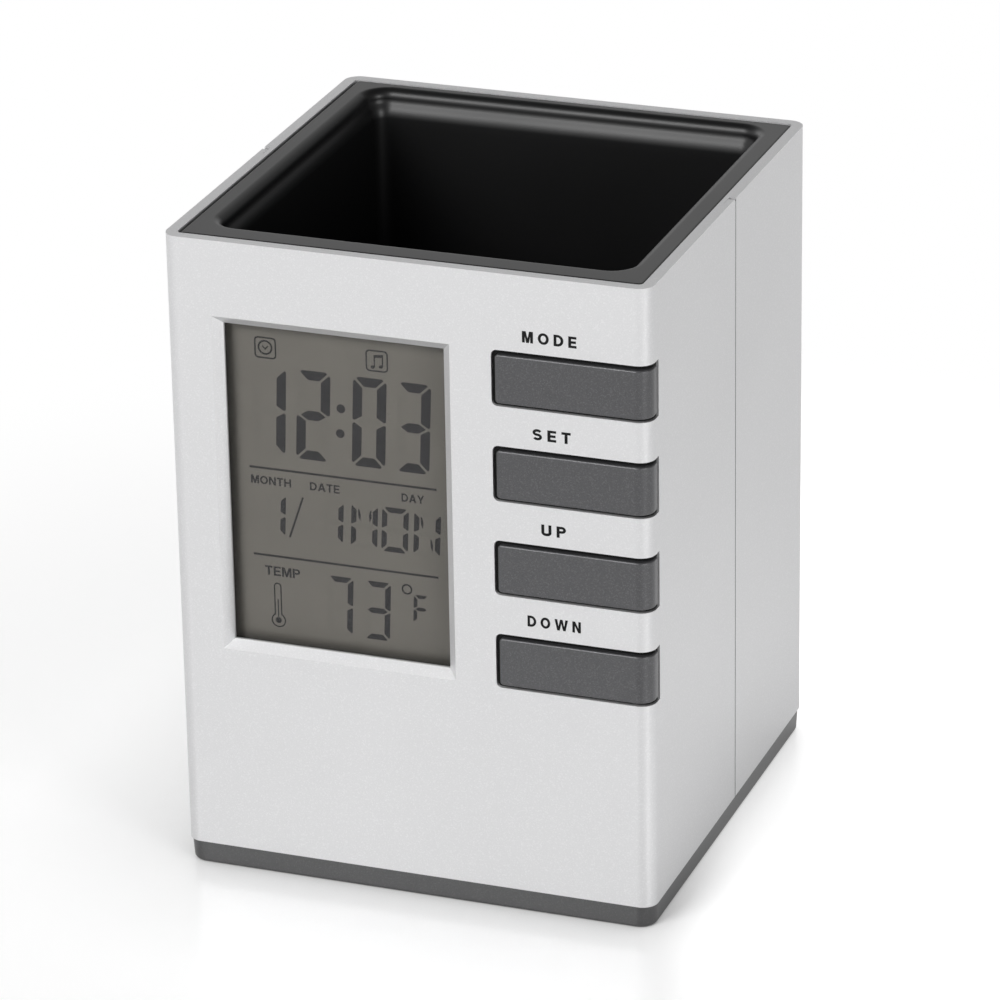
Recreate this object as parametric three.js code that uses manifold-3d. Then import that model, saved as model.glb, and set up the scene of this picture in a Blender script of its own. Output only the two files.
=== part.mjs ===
import * as THREE from 'three';
import { mergeVertices } from 'three/addons/utils/BufferGeometryUtils.js';
import Module from 'manifold-3d';

// Square pen holder with a clock in its front wall. Millimetres, +Z up, the front looks along -Y.
// The origin is on the table, under the middle of the whole object.

const wasm = await Module();
wasm.setup();

// Housing
const bodyWidth = 78;
const bodyDepth = 78.5;
const shellHeight = 102;
const baseHeight = 3.5;
const footStand = 0.3;
const cornerRadius = 2.5;
const wall = 1.8;
const insideCornerRadius = 0.8;
const seamBehindMiddle = 2.2;
const lapDepth = 2.9;
const lapThickness = 0.8;
const lapClearance = 0.25;

// Window in the front shell
const windowWidth = 38.5;
const windowHeight = 55.45;
const windowFromLeft = 7.8;
const windowFromTop = 12.25;
const windowBevel = 1.4;
const windowBevelDepth = 1.4;

// Keys, which wrap round the front right corner
const keyCount = 4;
const keyFromTop = 12.15;
const keySlotHeight = 9.05;
const keyBridge = 6.45;
const keyFromWindow = 6.63;
const keySlotRadius = 0.9;
const keyProud = 0.45;
const keyGap = 0.6;
const keySag = 0.1;
const keyEndGap = 0.9;
const keyTravel = 0.6;
const keyEndWrap = 2.95;
const keySkin = 1.4;
const keyFlange = 1;
const keyFlangeOverlap = 0.8;
const keyFlangeGap = 0.3;
const keyPostRadius = 1.5;

// Switches behind the keys
const switchSize = 6;
const switchHeight = 3;
const plungerRadius = 1.75;
const plungerStand = 1;
const plungerSeat = 1.6;

// Display
const lensThickness = 1.5;
const lensOverlap = 2.5;
const filmThickness = 0.2;
const glassThickness = 0.7;
const glassOverlap = 1.8;
const contactLedge = 2.6;
const stripWidth = 2;
const stripHeight = 4.2;
const holderWall = 1.2;
const holderShelf = 2;

// Circuit board and what it carries
const boardThickness = 1.6;
const boardFromSides = 1.8;
const boardBelowDisplay = 9;
const boardScrewRadius = 0.9;
const boardScrewHeadRadius = 1.8;
const boardScrewHead = 1.3;
const boardScrewReach = 4.5;
const boardScrewInset = 7.2;
const boardScrewRise = 3.5;
const leadPadRise = 25;
const partsSpace = 4.45;
const buzzerRadius = 6;
const buzzerHeight = 3.4;
const buzzerHoleRadius = 1;
const blobRadius = 5;
const blobHeight = 1.4;
const crystalRadius = 1;
const crystalLength = 6;
const leadThickness = 0.4;
const chipLength = 2;
const chipWidth = 1.25;
const sensorRadius = 1.2;
const sensorLeadLength = 4;

// Pen cup
const rimGap = 0.2;
const rimRecess = 0.1;
const rimWidth = 3.95;
const rimThickness = 2;
const lipChamfer = 1.1;
const mouthDepth = 2;
const mouthChamferHeight = 1.65;
const mouthStep = 1;
const mouthBehindMiddle = 1.3;
const mouthCornerRadius = 3.5;
const cupWall = 1.5;
const slopeClearance = 0.95;
const ledgeHeight = 3;
const ledgeWidth = 8;
const ledgeGap = 0.35;
const ledgeSpread = 18;

// Base, its battery bay and its door
const baseInset = 0.35;
const baseEdge = 0.8;
const basePocketDepth = 1.5;
const baseRib = 2.2;
const doorThickness = 1.8;
const doorOverlap = 1.5;
const doorTongue = 1.2;
const doorTongueThickness = 0.9;
const doorGap = 0.3;
const doorRibWidth = 1;
const doorRibDepth = 0.4;
const doorRibCount = 3;
const bayWall = 1.2;
const bayFromRear = 6;

// Cells, two slim ones side by side
const cellRadius = 5.25;
const cellLength = 44.5;
const cellNubRadius = 1.9;
const cellNubHeight = 1;
const cellEdge = 0.5;
const cellGap = 0.7;
const contactThickness = 0.4;
const contactWidth = 8;
const contactHeight = 9;
const springLength = 4.3;
const springTurns = 3.5;
const springWireRadius = 0.25;
const springBaseRadius = 3.2;
const springTipRadius = 1.9;
const tabWidth = 2.4;
const tabReach = 2;
const wireRadius = 0.6;

// Feet and base screws
const footRadius = 3.2;
const footSeat = 0.8;
const footEdge = 0.15;
const footSpacing = 1.6;
const screwFromSide = 6.6;
const postSize = 7.2;
const postClearance = 0.9;
const screwHeadRadius = 2.3;
const screwHeadHeight = 1.3;
const screwHeadSunk = 0.4;
const screwRadius = 1.2;
const screwReach = 8;
const slotWidth = 0.6;
const slotDepth = 0.6;

// Shares of a screw's head radius and head height
const headTopShare = 0.75;
const headCheekShare = 0.55;
const driveArmShare = 0.6;

// Clearance between fixed neighbours, the overrun of every cut, and the reach that merges points
const clearance = 0.3;
const overrun = 5;
const weldReach = 1e-5;

// Levels and faces that several pieces share
const halfWidth = bodyWidth / 2;
const halfDepth = bodyDepth / 2;
const insideX = halfWidth - wall;
const insideY = halfDepth - wall;
const baseTop = footStand + baseHeight;
const shellTop = baseTop + shellHeight;
const rimTop = shellTop - rimRecess;
const rimUnder = rimTop - rimThickness;
const seamY = seamBehindMiddle;

const windowLeft = windowFromLeft - halfWidth;
const windowRight = windowLeft + windowWidth;
const windowTop = shellTop - windowFromTop;
const windowBottom = windowTop - windowHeight;
const sightLeft = windowLeft + windowBevel;
const sightRight = windowRight - windowBevel;
const sightTop = windowTop - windowBevel;
const sightBottom = windowBottom + windowBevel;

const lensFront = -insideY;
const filmFront = lensFront + lensThickness;
const frontGlassFront = filmFront + filmThickness;
const rearGlassFront = frontGlassFront + glassThickness;
const reflectorFront = rearGlassFront + glassThickness;
const boardFront = rearGlassFront + stripHeight;
const boardRear = boardFront + boardThickness;

const glassLeft = sightLeft - glassOverlap;
const glassRight = sightRight + glassOverlap;
const glassTop = sightTop + glassOverlap;
const glassBottom = sightBottom - glassOverlap;
const holderTop = glassTop + clearance + holderWall;
const holderBottom = glassBottom - clearance - holderWall;
const holderLeft = glassLeft - clearance - holderWall;
const holderRight = glassRight + clearance + holderWall;

const slotLeft = windowRight + keyFromWindow;
const slotEnd = keyEndWrap + keyEndGap - halfDepth;
const keyLeft = slotLeft + keyGap + keySag;
const keyPitch = keySlotHeight + keyBridge;
const keyHeight = keySlotHeight - 2 * keyGap;
const keyInner = insideX - keyGap;
const keyFlangeFront = keyFlangeGap - insideY;
const keyFlangeRear = keyFlangeFront + keyFlange;
const keyPostX = (keyLeft + keyInner) / 2;
const keyBottoms = Array.from({ length: keyCount }, (_, row) =>
  shellTop - keyFromTop - keySlotHeight - row * keyPitch);

const mouthX = halfWidth - wall - rimGap - rimWidth;
const mouthRear = halfDepth - wall - rimGap - rimWidth + mouthBehindMiddle;
const mouthFront = mouthBehindMiddle + wall + rimGap + rimWidth - halfDepth;
const wellX = mouthX - mouthStep;
const wellRear = mouthRear - mouthStep;
const wellFront = mouthFront + mouthStep;
const wellCornerRadius = mouthCornerRadius - mouthStep;
const chamferBottom = rimTop - mouthDepth - mouthChamferHeight;
const cupFrontOuter = boardRear + partsSpace;
const cupFront = cupFrontOuter + cupWall;
const slopeOuter = holderTop + boardFront + slopeClearance;
const slopeInner = slopeOuter + cupWall * Math.SQRT2;
const boardTop = slopeOuter - boardRear - slopeClearance;
const boardBottom = Math.min(holderBottom, keyBottoms[keyCount - 1]) - boardBelowDisplay;
const boardHalf = insideX - boardFromSides;
const boardBossRadius = keyBridge / 2 - keyFlangeOverlap - clearance;

const doorTop = footStand + doorThickness;
const bayFloor = doorTop + doorGap;
const cellZ = bayFloor + cellRadius;
const bayTop = cellZ + cellRadius + clearance;
const bayRoof = bayTop + bayWall;
const cupUnder = bayRoof + clearance;
const cupFloor = cupUnder + cupWall;
const cellX = cellRadius + cellGap / 2;
const bayHalf = cellX + cellRadius + clearance;
const bayRear = halfDepth - bayFromRear;
const bayLength = contactThickness + clearance + cellLength + clearance + springLength + contactThickness;
const bayFront = bayRear - bayLength;
const doorHalf = bayHalf + doorOverlap;
const doorFront = bayFront - doorOverlap;
const grooveHalf = doorHalf + doorTongue + doorGap;

const screwX = halfWidth - screwFromSide;
const screwY = halfDepth - screwFromSide;
const footY = screwY - screwHeadRadius - clearance - footSpacing - footRadius;
const postTop = Math.min(cupUnder, boardBottom) - postClearance;

// Shapes and solids

function rectangle(x0, x1, y0, y1) {
  const shape = new THREE.Shape();
  shape.moveTo(x0, y0);
  shape.lineTo(x1, y0);
  shape.lineTo(x1, y1);
  shape.lineTo(x0, y1);
  return shape;
}

function roundedRectangle(x0, x1, y0, y1, radius) {
  const shape = new THREE.Shape();
  shape.moveTo(x0 + radius, y0);
  shape.lineTo(x1 - radius, y0);
  shape.absarc(x1 - radius, y0 + radius, radius, -Math.PI / 2, 0);
  shape.lineTo(x1, y1 - radius);
  shape.absarc(x1 - radius, y1 - radius, radius, 0, Math.PI / 2);
  shape.lineTo(x0 + radius, y1);
  shape.absarc(x0 + radius, y1 - radius, radius, Math.PI / 2, Math.PI);
  shape.lineTo(x0, y0 + radius);
  shape.absarc(x0 + radius, y0 + radius, radius, Math.PI, 1.5 * Math.PI);
  return shape;
}

function polygon(points) {
  return new THREE.Shape(points.map(([x, y]) => new THREE.Vector2(x, y)));
}

// A shape in X and Y, raised from z0 to z1.
function upright(shape, z0, z1, curveSegments = 4) {
  const geometry = new THREE.ExtrudeGeometry(shape, { depth: z1 - z0, bevelEnabled: false, curveSegments });
  return geometry.translate(0, 0, z0);
}

// A shape in X and Z, carried from y0 back to y1.
function facing(shape, y0, y1, curveSegments = 4) {
  const geometry = new THREE.ExtrudeGeometry(shape, { depth: y1 - y0, bevelEnabled: false, curveSegments });
  return geometry.rotateX(Math.PI / 2).translate(0, y1, 0);
}

// A shape in Y and Z, carried from x0 to x1.
function sideways(shape, x0, x1) {
  const geometry = new THREE.ExtrudeGeometry(shape, { depth: x1 - x0, bevelEnabled: false });
  return geometry.rotateX(Math.PI / 2).rotateZ(Math.PI / 2).translate(x0, 0, 0);
}

// A shape that widens by its flare over the first stretch above z0, then goes straight up to z1.
function flared(shape, z0, flare, flareHeight, z1, curveSegments = 4) {
  const settings = {
    depth: z1 - z0 - flareHeight,
    bevelSize: flare,
    bevelThickness: flareHeight,
    bevelSegments: 1,
    curveSegments,
  };
  return new THREE.ExtrudeGeometry(shape, settings).translate(0, 0, z0 + flareHeight);
}

function block(x0, x1, y0, y1, z0, z1) {
  const geometry = new THREE.BoxGeometry(x1 - x0, y1 - y0, z1 - z0);
  return geometry.translate((x0 + x1) / 2, (y0 + y1) / 2, (z0 + z1) / 2);
}

// A round bar along Y, from y0 back to y1.
function barY(radius, x, z, y0, y1, sides = 12) {
  const geometry = new THREE.CylinderGeometry(radius, radius, y1 - y0, sides);
  return geometry.translate(x, (y0 + y1) / 2, z);
}

// A round bar along Z, from z0 up to z1.
function barZ(radius, x, y, z0, z1, sides = 12) {
  const geometry = new THREE.CylinderGeometry(radius, radius, z1 - z0, sides);
  return geometry.rotateX(Math.PI / 2).translate(x, y, (z0 + z1) / 2);
}

function turned(profile, sides) {
  return new THREE.LatheGeometry(profile.map(([r, y]) => new THREE.Vector2(r, y)), sides);
}

function solid(geometry) {
  const bare = geometry.index ? geometry.toNonIndexed() : geometry.clone();
  bare.deleteAttribute('normal');
  bare.deleteAttribute('uv');
  const merged = mergeVertices(bare, weldReach);
  const triangles = [];
  const index = merged.index.array;
  for (let i = 0; i < index.length; i += 3) {
    const [a, b, c] = [index[i], index[i + 1], index[i + 2]];
    if (a !== b && b !== c && c !== a) {
      triangles.push(a, b, c);
    }
  }
  const mesh = new wasm.Mesh({
    numProp: 3,
    vertProperties: new Float32Array(merged.attributes.position.array),
    triVerts: new Uint32Array(triangles),
  });
  return new wasm.Manifold(mesh);
}

function joined(first, ...others) {
  return others.reduce((whole, geometry) => whole.add(solid(geometry)), solid(first));
}

function cut(whole, ...cutters) {
  return cutters.reduce((rest, geometry) => rest.subtract(solid(geometry)), whole);
}

function geometryOf(manifold) {
  const mesh = manifold.getMesh();
  const geometry = new THREE.BufferGeometry();
  geometry.setAttribute('position', new THREE.BufferAttribute(new Float32Array(mesh.vertProperties), 3));
  geometry.setIndex(new THREE.BufferAttribute(new Uint32Array(mesh.triVerts), 1));
  const faceted = geometry.toNonIndexed();
  faceted.computeVertexNormals();
  return faceted;
}

function piece(name, geometry, finish, position = [0, 0, 0]) {
  const mesh = new THREE.Mesh(geometry, new THREE.MeshStandardMaterial(finish));
  mesh.name = name;
  mesh.position.set(...position);
  return mesh;
}

// Finishes
const silverPaint = { color: 0xdcdcdc, roughness: 0.42, metalness: 0.55 };
const greyPlastic = { color: 0x5e5e5e, roughness: 0.5, metalness: 0.1 };
const keyPlastic = { color: 0x626262, roughness: 0.48, metalness: 0.2 };
const cupPlastic = { color: 0x2a2a2a, roughness: 0.45, metalness: 0 };
const clearPlastic = { color: 0xf4f6f6, roughness: 0.05, metalness: 0, transparent: true, opacity: 0.25 };
const displayGlass = { color: 0x9a9c92, roughness: 0.1, metalness: 0 };
const polarFilm = { color: 0x6e7068, roughness: 0.3, metalness: 0 };
const blackPlastic = { color: 0x1d1d1e, roughness: 0.5, metalness: 0 };
const whitePlastic = { color: 0xd9d8d2, roughness: 0.5, metalness: 0 };
const blackRubber = { color: 0x222222, roughness: 0.85, metalness: 0 };
const pinkRubber = { color: 0xd8b6ac, roughness: 0.8, metalness: 0 };
const boardGreen = { color: 0x1f5c38, roughness: 0.45, metalness: 0 };
const platedSteel = { color: 0xc4c6c8, roughness: 0.3, metalness: 1 };
const blackResin = { color: 0x121212, roughness: 0.25, metalness: 0 };
const ceramicTan = { color: 0xb89a74, roughness: 0.5, metalness: 0 };
const cellJacket = { color: 0x33506e, roughness: 0.35, metalness: 0.2 };
const redWire = { color: 0xb01c1c, roughness: 0.5, metalness: 0 };
const blackWire = { color: 0x161616, roughness: 0.5, metalness: 0 };

// Shells: each is half of a square tube, and the rear one's tongues slide inside the front one's walls.

function halfTube(side) {
  const outer = side * halfDepth;
  const inner = side * insideY;
  const lapFace = side < 0 ? halfWidth - wall + lapThickness + lapClearance : halfWidth - wall + lapThickness;
  const lapEnd = side < 0 ? seamY - lapDepth : seamY - lapDepth + lapClearance;
  const clockwise = side > 0;
  const quarter = Math.PI / 2;
  const shape = new THREE.Shape();
  shape.moveTo(-halfWidth, seamY);
  shape.lineTo(-halfWidth, outer - side * cornerRadius);
  shape.absarc(cornerRadius - halfWidth, outer - side * cornerRadius, cornerRadius,
    Math.PI, side * quarter, clockwise);
  shape.lineTo(halfWidth - cornerRadius, outer);
  shape.absarc(halfWidth - cornerRadius, outer - side * cornerRadius, cornerRadius,
    side * quarter, 0, clockwise);
  shape.lineTo(halfWidth, seamY);
  shape.lineTo(lapFace, seamY);
  shape.lineTo(lapFace, lapEnd);
  shape.lineTo(insideX, lapEnd);
  shape.lineTo(insideX, inner - side * insideCornerRadius);
  shape.absarc(insideX - insideCornerRadius, inner - side * insideCornerRadius, insideCornerRadius,
    0, side * quarter, !clockwise);
  shape.lineTo(insideCornerRadius - insideX, inner);
  shape.absarc(insideCornerRadius - insideX, inner - side * insideCornerRadius, insideCornerRadius,
    side * quarter, Math.PI, !clockwise);
  shape.lineTo(-insideX, lapEnd);
  shape.lineTo(-lapFace, lapEnd);
  shape.lineTo(-lapFace, seamY);
  return upright(shape, baseTop, shellTop);
}

// A block between two corners, given in any order.
function blockBetween([xa, ya, za], [xb, yb, zb]) {
  return block(Math.min(xa, xb), Math.max(xa, xb), Math.min(ya, yb), Math.max(ya, yb),
    Math.min(za, zb), Math.max(za, zb));
}

// Four short ledges under the cup's rim: two on the end wall, one on each side wall.
function ledges(side) {
  const half = ledgeWidth / 2;
  const low = rimUnder - ledgeHeight;
  const rootX = insideX + wall / 2;
  const rootY = insideY + wall / 2;
  const tipX = mouthX + cupWall + ledgeGap;
  const tipY = Math.abs(side < 0 ? mouthFront : mouthRear) + cupWall + ledgeGap;
  return [-1, 1].flatMap((hand) => {
    const x = hand * ledgeSpread;
    const y = side * ledgeSpread;
    return [
      blockBetween([x - half, side * rootY, low], [x + half, side * tipY, rimUnder]),
      blockBetween([hand * rootX, y - half, low], [hand * tipX, y + half, rimUnder]),
    ];
  });
}

// Two corner posts for the base screws.
function posts(side) {
  return [-1, 1].map((hand) => blockBetween(
    [hand * (screwX - postSize / 2), side * (screwY - postSize / 2), baseTop],
    [hand * (insideX + wall / 2), side * (insideY + wall / 2), postTop],
  ));
}

function pilotHoles(side) {
  const depth = screwReach - footStand;
  return [-1, 1].map((hand) =>
    barZ(screwRadius + clearance, hand * screwX, side * screwY, baseTop - overrun, baseTop + depth, 10));
}

const boardScrewPlaces = [
  [boardScrewInset - boardHalf, boardBottom + boardScrewRise],
  [boardHalf - boardScrewInset, boardBottom + boardScrewRise],
  [slotLeft + boardBossRadius, keyBottoms[0] - keyBridge / 2],
  [slotLeft + boardBossRadius, keyBottoms[2] - keyBridge / 2],
];

function keySlot(bottom) {
  const top = bottom + keySlotHeight;
  const right = halfWidth + overrun;
  const shape = new THREE.Shape();
  shape.moveTo(slotLeft + keySlotRadius, bottom);
  shape.lineTo(right, bottom);
  shape.lineTo(right, top);
  shape.lineTo(slotLeft + keySlotRadius, top);
  shape.absarc(slotLeft + keySlotRadius, top - keySlotRadius, keySlotRadius, Math.PI / 2, Math.PI);
  shape.lineTo(slotLeft, bottom + keySlotRadius);
  shape.absarc(slotLeft + keySlotRadius, bottom + keySlotRadius, keySlotRadius, Math.PI, 1.5 * Math.PI);
  return facing(shape, -halfDepth - overrun, slotEnd);
}

function frontShell() {
  const sight = rectangle(sightLeft, sightRight, sightBottom, sightTop);
  const bevel = new THREE.ExtrudeGeometry(sight, {
    depth: overrun,
    bevelSize: windowBevel,
    bevelThickness: windowBevelDepth,
    bevelSegments: 1,
  });
  bevel.rotateX(Math.PI / 2).translate(0, -halfDepth, 0);
  const bosses = boardScrewPlaces.map(([x, z]) =>
    barY(boardBossRadius, x, z, -insideY - wall / 2, boardFront));
  const bossHoles = boardScrewPlaces.map(([x, z]) =>
    barY(boardScrewRadius + clearance, x, z, boardFront - boardScrewReach, boardFront + overrun, 8));
  const whole = joined(halfTube(-1), ...ledges(-1), ...posts(-1), ...bosses);
  return geometryOf(cut(whole, bevel, facing(sight, -halfDepth, overrun - insideY),
    ...keyBottoms.map(keySlot), ...bossHoles, ...pilotHoles(-1)));
}

function rearShell() {
  const whole = joined(halfTube(1), ...ledges(1), ...posts(1));
  return geometryOf(cut(whole, ...pilotHoles(1)));
}

// Cup: a flanged rim, a stepped mouth, and a front wall that slopes back to clear the clockwork.

function penCup() {
  const rimX = insideX - rimGap;
  const rimY = insideY - rimGap;
  const collarX = mouthX + cupWall;
  const outerX = wellX + cupWall;
  const outerFront = wellFront - cupWall;
  const outerRear = wellRear + cupWall;
  const rim = upright(roundedRectangle(-rimX, rimX, -rimY, rimY, insideCornerRadius), rimUnder, rimTop);
  const collar = upright(
    roundedRectangle(-collarX, collarX, mouthFront - cupWall, mouthRear + cupWall, mouthCornerRadius + cupWall),
    chamferBottom - cupWall, rimTop - rimThickness / 2);
  const column = upright(
    roundedRectangle(-outerX, outerX, outerFront, outerRear, wellCornerRadius + cupWall), cupUnder, rimUnder);
  const outerProfile = sideways(polygon([
    [outerFront, rimUnder],
    [outerFront, slopeOuter - outerFront],
    [cupFrontOuter, slopeOuter - cupFrontOuter],
    [cupFrontOuter, cupUnder],
    [outerRear, cupUnder],
    [outerRear, rimUnder],
  ]), -outerX, outerX);
  const wellOutline = roundedRectangle(-wellX, wellX, wellFront, wellRear, wellCornerRadius);
  const well = upright(wellOutline, cupFloor, rimTop + overrun);
  const wellProfile = sideways(polygon([
    [wellFront, rimTop + overrun],
    [wellFront, slopeInner - wellFront],
    [cupFront, slopeInner - cupFront],
    [cupFront, cupFloor],
    [wellRear, cupFloor],
    [wellRear, rimTop + overrun],
  ]), -wellX, wellX);
  const mouthOutline = roundedRectangle(-mouthX, mouthX, mouthFront, mouthRear, mouthCornerRadius);
  const mouth = flared(wellOutline, chamferBottom, mouthStep, mouthChamferHeight, rimTop + overrun);
  const lip = flared(mouthOutline, rimTop - lipChamfer, lipChamfer, lipChamfer, rimTop + overrun);
  const body = solid(column).intersect(solid(outerProfile)).add(solid(rim)).add(solid(collar));
  const hollow = solid(well).intersect(solid(wellProfile)).add(solid(mouth)).add(solid(lip));
  return geometryOf(body.subtract(hollow));
}

// Base: its outer form is shared by the door, which closes its rear edge.

function baseForm() {
  const x = halfWidth - baseInset - baseEdge;
  const y = halfDepth - baseInset - baseEdge;
  const outline = roundedRectangle(-x, x, -y, y, cornerRadius);
  const full = flared(outline, footStand, baseEdge, baseEdge, baseTop + overrun);
  const trim = block(-halfWidth, halfWidth, -halfDepth, halfDepth, footStand, baseTop);
  return solid(full).intersect(solid(trim));
}

function footRecess(x, y, extra) {
  return barZ(footRadius + extra, x, y, footStand - overrun, footStand + footSeat, 16);
}

const cornerSigns = [[-1, -1], [1, -1], [-1, 1], [1, 1]];

function basePlate() {
  const rear = halfDepth + overrun;
  const bay = block(-bayHalf - bayWall, bayHalf + bayWall, bayFront - bayWall, bayRear + bayWall,
    baseTop - basePocketDepth, bayRoof);
  const cavity = block(-bayHalf, bayHalf, bayFront, bayRear, footStand, bayTop);
  const channel = block(-doorHalf - doorGap, doorHalf + doorGap, doorFront - doorGap, rear,
    footStand - overrun, bayFloor);
  const groove = block(-grooveHalf, grooveHalf, doorFront - doorGap, rear,
    doorTop - doorTongueThickness - doorGap, bayFloor);
  const pocketInner = grooveHalf + baseRib;
  const pocketOuter = insideX - baseRib;
  const pocketY = screwY - postSize / 2 - baseRib;
  const pocketFloor = baseTop - basePocketDepth;
  const sidePockets = [-1, 1].map((hand) => {
    const [x0, x1] = hand < 0 ? [-pocketOuter, -pocketInner] : [pocketInner, pocketOuter];
    return block(x0, x1, -pocketY, pocketY, pocketFloor, baseTop + overrun);
  });
  const frontHalf = screwX - postSize / 2 - baseRib;
  const frontPocket = block(-frontHalf, frontHalf, baseRib - insideY, doorFront - doorGap - baseRib,
    pocketFloor, baseTop + overrun);
  const tabHoles = [-1, 1].map((hand) => block(hand * cellX - tabWidth / 2 - clearance,
    hand * cellX + tabWidth / 2 + clearance, bayFront - bayWall - overrun, bayFront + clearance,
    cellZ - contactThickness / 2 - clearance, cellZ + contactThickness / 2 + clearance));
  const screwHoles = cornerSigns.flatMap(([sx, sy]) => [
    barZ(screwRadius + clearance, sx * screwX, sy * screwY, footStand - overrun, baseTop + overrun, 12),
    barZ(screwHeadRadius + clearance, sx * screwX, sy * screwY, footStand - overrun,
      footStand + screwHeadSunk + screwHeadHeight, 16),
  ]);
  const recesses = cornerSigns.map(([sx, sy]) => footRecess(sx * screwX, sy * footY, clearance));
  const whole = cut(baseForm(), ...sidePockets, frontPocket).add(solid(bay));
  return geometryOf(cut(whole, cavity, channel, groove, ...tabHoles, ...screwHoles, ...recesses));
}

function batteryDoor() {
  const rear = halfDepth + overrun;
  const panel = solid(block(-doorHalf, doorHalf, doorFront, rear, footStand, doorTop));
  const tongue = solid(block(-doorHalf - doorTongue, doorHalf + doorTongue, doorFront, rear,
    doorTop - doorTongueThickness, doorTop));
  const ribs = Array.from({ length: doorRibCount }, (_, i) => {
    const y = halfDepth - bayFromRear - i * 2 * doorRibWidth;
    return block(-doorHalf / 2, doorHalf / 2, y - doorRibWidth, y,
      footStand - overrun, footStand + doorRibDepth);
  });
  return geometryOf(cut(panel.add(tongue).intersect(baseForm()), ...ribs));
}

// Key: a hollow cap that follows the corner, with a flange behind the wall and a post to its switch.

function keyCap() {
  const front = -halfDepth - keyProud;
  const end = keyEndWrap - halfDepth;
  const radius = cornerRadius;
  const plan = new THREE.Shape();
  plan.moveTo(keyLeft, front);
  plan.lineTo(halfWidth - radius, front);
  plan.absarc(halfWidth - radius, front + radius, radius, -Math.PI / 2, 0);
  plan.lineTo(halfWidth, end);
  plan.lineTo(keyInner, end);
  plan.lineTo(keyInner, keyFlangeRear);
  plan.lineTo(keyLeft, keyFlangeRear);
  const corner = keySlotRadius - keyGap / 2;
  const outline = roundedRectangle(keyLeft, halfWidth + overrun, 0, keyHeight, corner);
  const cap = solid(upright(plan, 0, keyHeight, 6)).intersect(solid(facing(outline, front, keyFlangeRear)));
  const flange = block(slotLeft - keyFlangeOverlap, keyInner, keyFlangeFront, keyFlangeRear,
    -keyGap - keyFlangeOverlap, keyHeight + keyGap + keyFlangeOverlap);
  const hollow = block(keyLeft + keySkin, keyInner - keySkin, front + keySkin, keyFlangeRear + overrun,
    keySkin, keyHeight - keySkin);
  const post = barY(keyPostRadius, keyPostX, keyHeight / 2, front + keySkin / 2,
    boardFront - switchHeight - plungerStand);
  return geometryOf(cap.add(solid(flange)).subtract(solid(hollow)).add(solid(post)));
}

function switchBody() {
  const half = switchSize / 2;
  const box = block(-half, half, -switchHeight, 0, -half, half);
  const wellFloor = plungerSeat + keyTravel + clearance - switchHeight;
  const well = barY(plungerRadius + clearance, 0, 0, -switchHeight - overrun, wellFloor, 16);
  return geometryOf(cut(solid(box), well));
}

function plunger() {
  return barY(plungerRadius, 0, 0, -plungerStand, plungerSeat, 16);
}

// Display stack, between the clear lens and the circuit board.

function slab(x0, x1, z0, z1, front, thickness) {
  return block(x0, x1, front, front + thickness, z0, z1);
}

function displayHolder() {
  const ring = block(holderLeft, holderRight, filmFront, boardFront, holderBottom, holderTop);
  const pocket = block(glassLeft - clearance, glassRight + clearance, filmFront - overrun,
    reflectorFront + filmThickness + clearance, glassBottom - clearance, glassTop + clearance);
  const through = block(glassLeft + holderShelf, glassRight - holderShelf, filmFront - overrun,
    boardFront + overrun, glassBottom - clearance, glassTop + clearance);
  return geometryOf(cut(solid(ring), pocket, through));
}

// Screws, turned about their own axis with the head's seat at the origin and the shank going up.

function screwProfile(headRadius, head, radius, reach) {
  return [
    [0, -head],
    [headRadius * headTopShare, -head],
    [headRadius, -head * headCheekShare],
    [headRadius, 0],
    [radius, 0],
    [radius, reach - radius],
    [0, reach],
  ];
}

function baseScrew() {
  const profile = screwProfile(screwHeadRadius, screwHeadHeight, screwRadius, screwReach);
  const body = solid(turned(profile, 12).rotateX(Math.PI / 2));
  const arm = screwHeadRadius * driveArmShare;
  const slots = [
    block(-arm, arm, -slotWidth / 2, slotWidth / 2, -screwHeadHeight - overrun, slotDepth - screwHeadHeight),
    block(-slotWidth / 2, slotWidth / 2, -arm, arm, -screwHeadHeight - overrun, slotDepth - screwHeadHeight),
  ];
  return geometryOf(cut(body, ...slots));
}

function boardScrew() {
  const profile = screwProfile(boardScrewHeadRadius, boardScrewHead, boardScrewRadius,
    boardScrewReach + boardThickness - clearance);
  return turned(profile, 10).rotateZ(Math.PI);
}

function foot() {
  const height = footStand + footSeat;
  return turned([
    [0, 0],
    [footRadius - footEdge, 0],
    [footRadius, footEdge],
    [footRadius, height],
    [0, height],
  ], 16).rotateX(Math.PI / 2);
}

// Cells and their contacts. A cell lies along Y with its nub towards +Y, about its own middle.

function cell() {
  const half = cellLength / 2;
  const shoulder = half - cellNubHeight;
  return turned([
    [0, -half],
    [cellRadius - cellEdge, -half],
    [cellRadius, cellEdge - half],
    [cellRadius, shoulder - cellEdge],
    [cellRadius - cellEdge, shoulder],
    [cellNubRadius, shoulder],
    [cellNubRadius, half],
    [0, half],
  ], 20);
}

// The spring is a cone of round wire that starts in its plate and points along +Y.
class SpringLine extends THREE.Curve {
  getPoint(t, target = new THREE.Vector3()) {
    const turn = 2 * Math.PI * springTurns * t;
    const radius = springBaseRadius + (springTipRadius - springBaseRadius) * t;
    const run = contactThickness / 2 + (springLength - springWireRadius + contactThickness / 2) * t;
    return target.set(radius * Math.cos(turn), run, radius * Math.sin(turn));
  }
}

function springCoil() {
  const sides = 5;
  const stepsPerTurn = 8;
  const section = polygon(Array.from({ length: sides }, (_, i) => {
    const angle = 2 * Math.PI * i / sides;
    return [springWireRadius * Math.cos(angle), springWireRadius * Math.sin(angle)];
  }));
  return new THREE.ExtrudeGeometry(section, {
    steps: springTurns * stepsPerTurn,
    extrudePath: new SpringLine(),
  });
}

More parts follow.
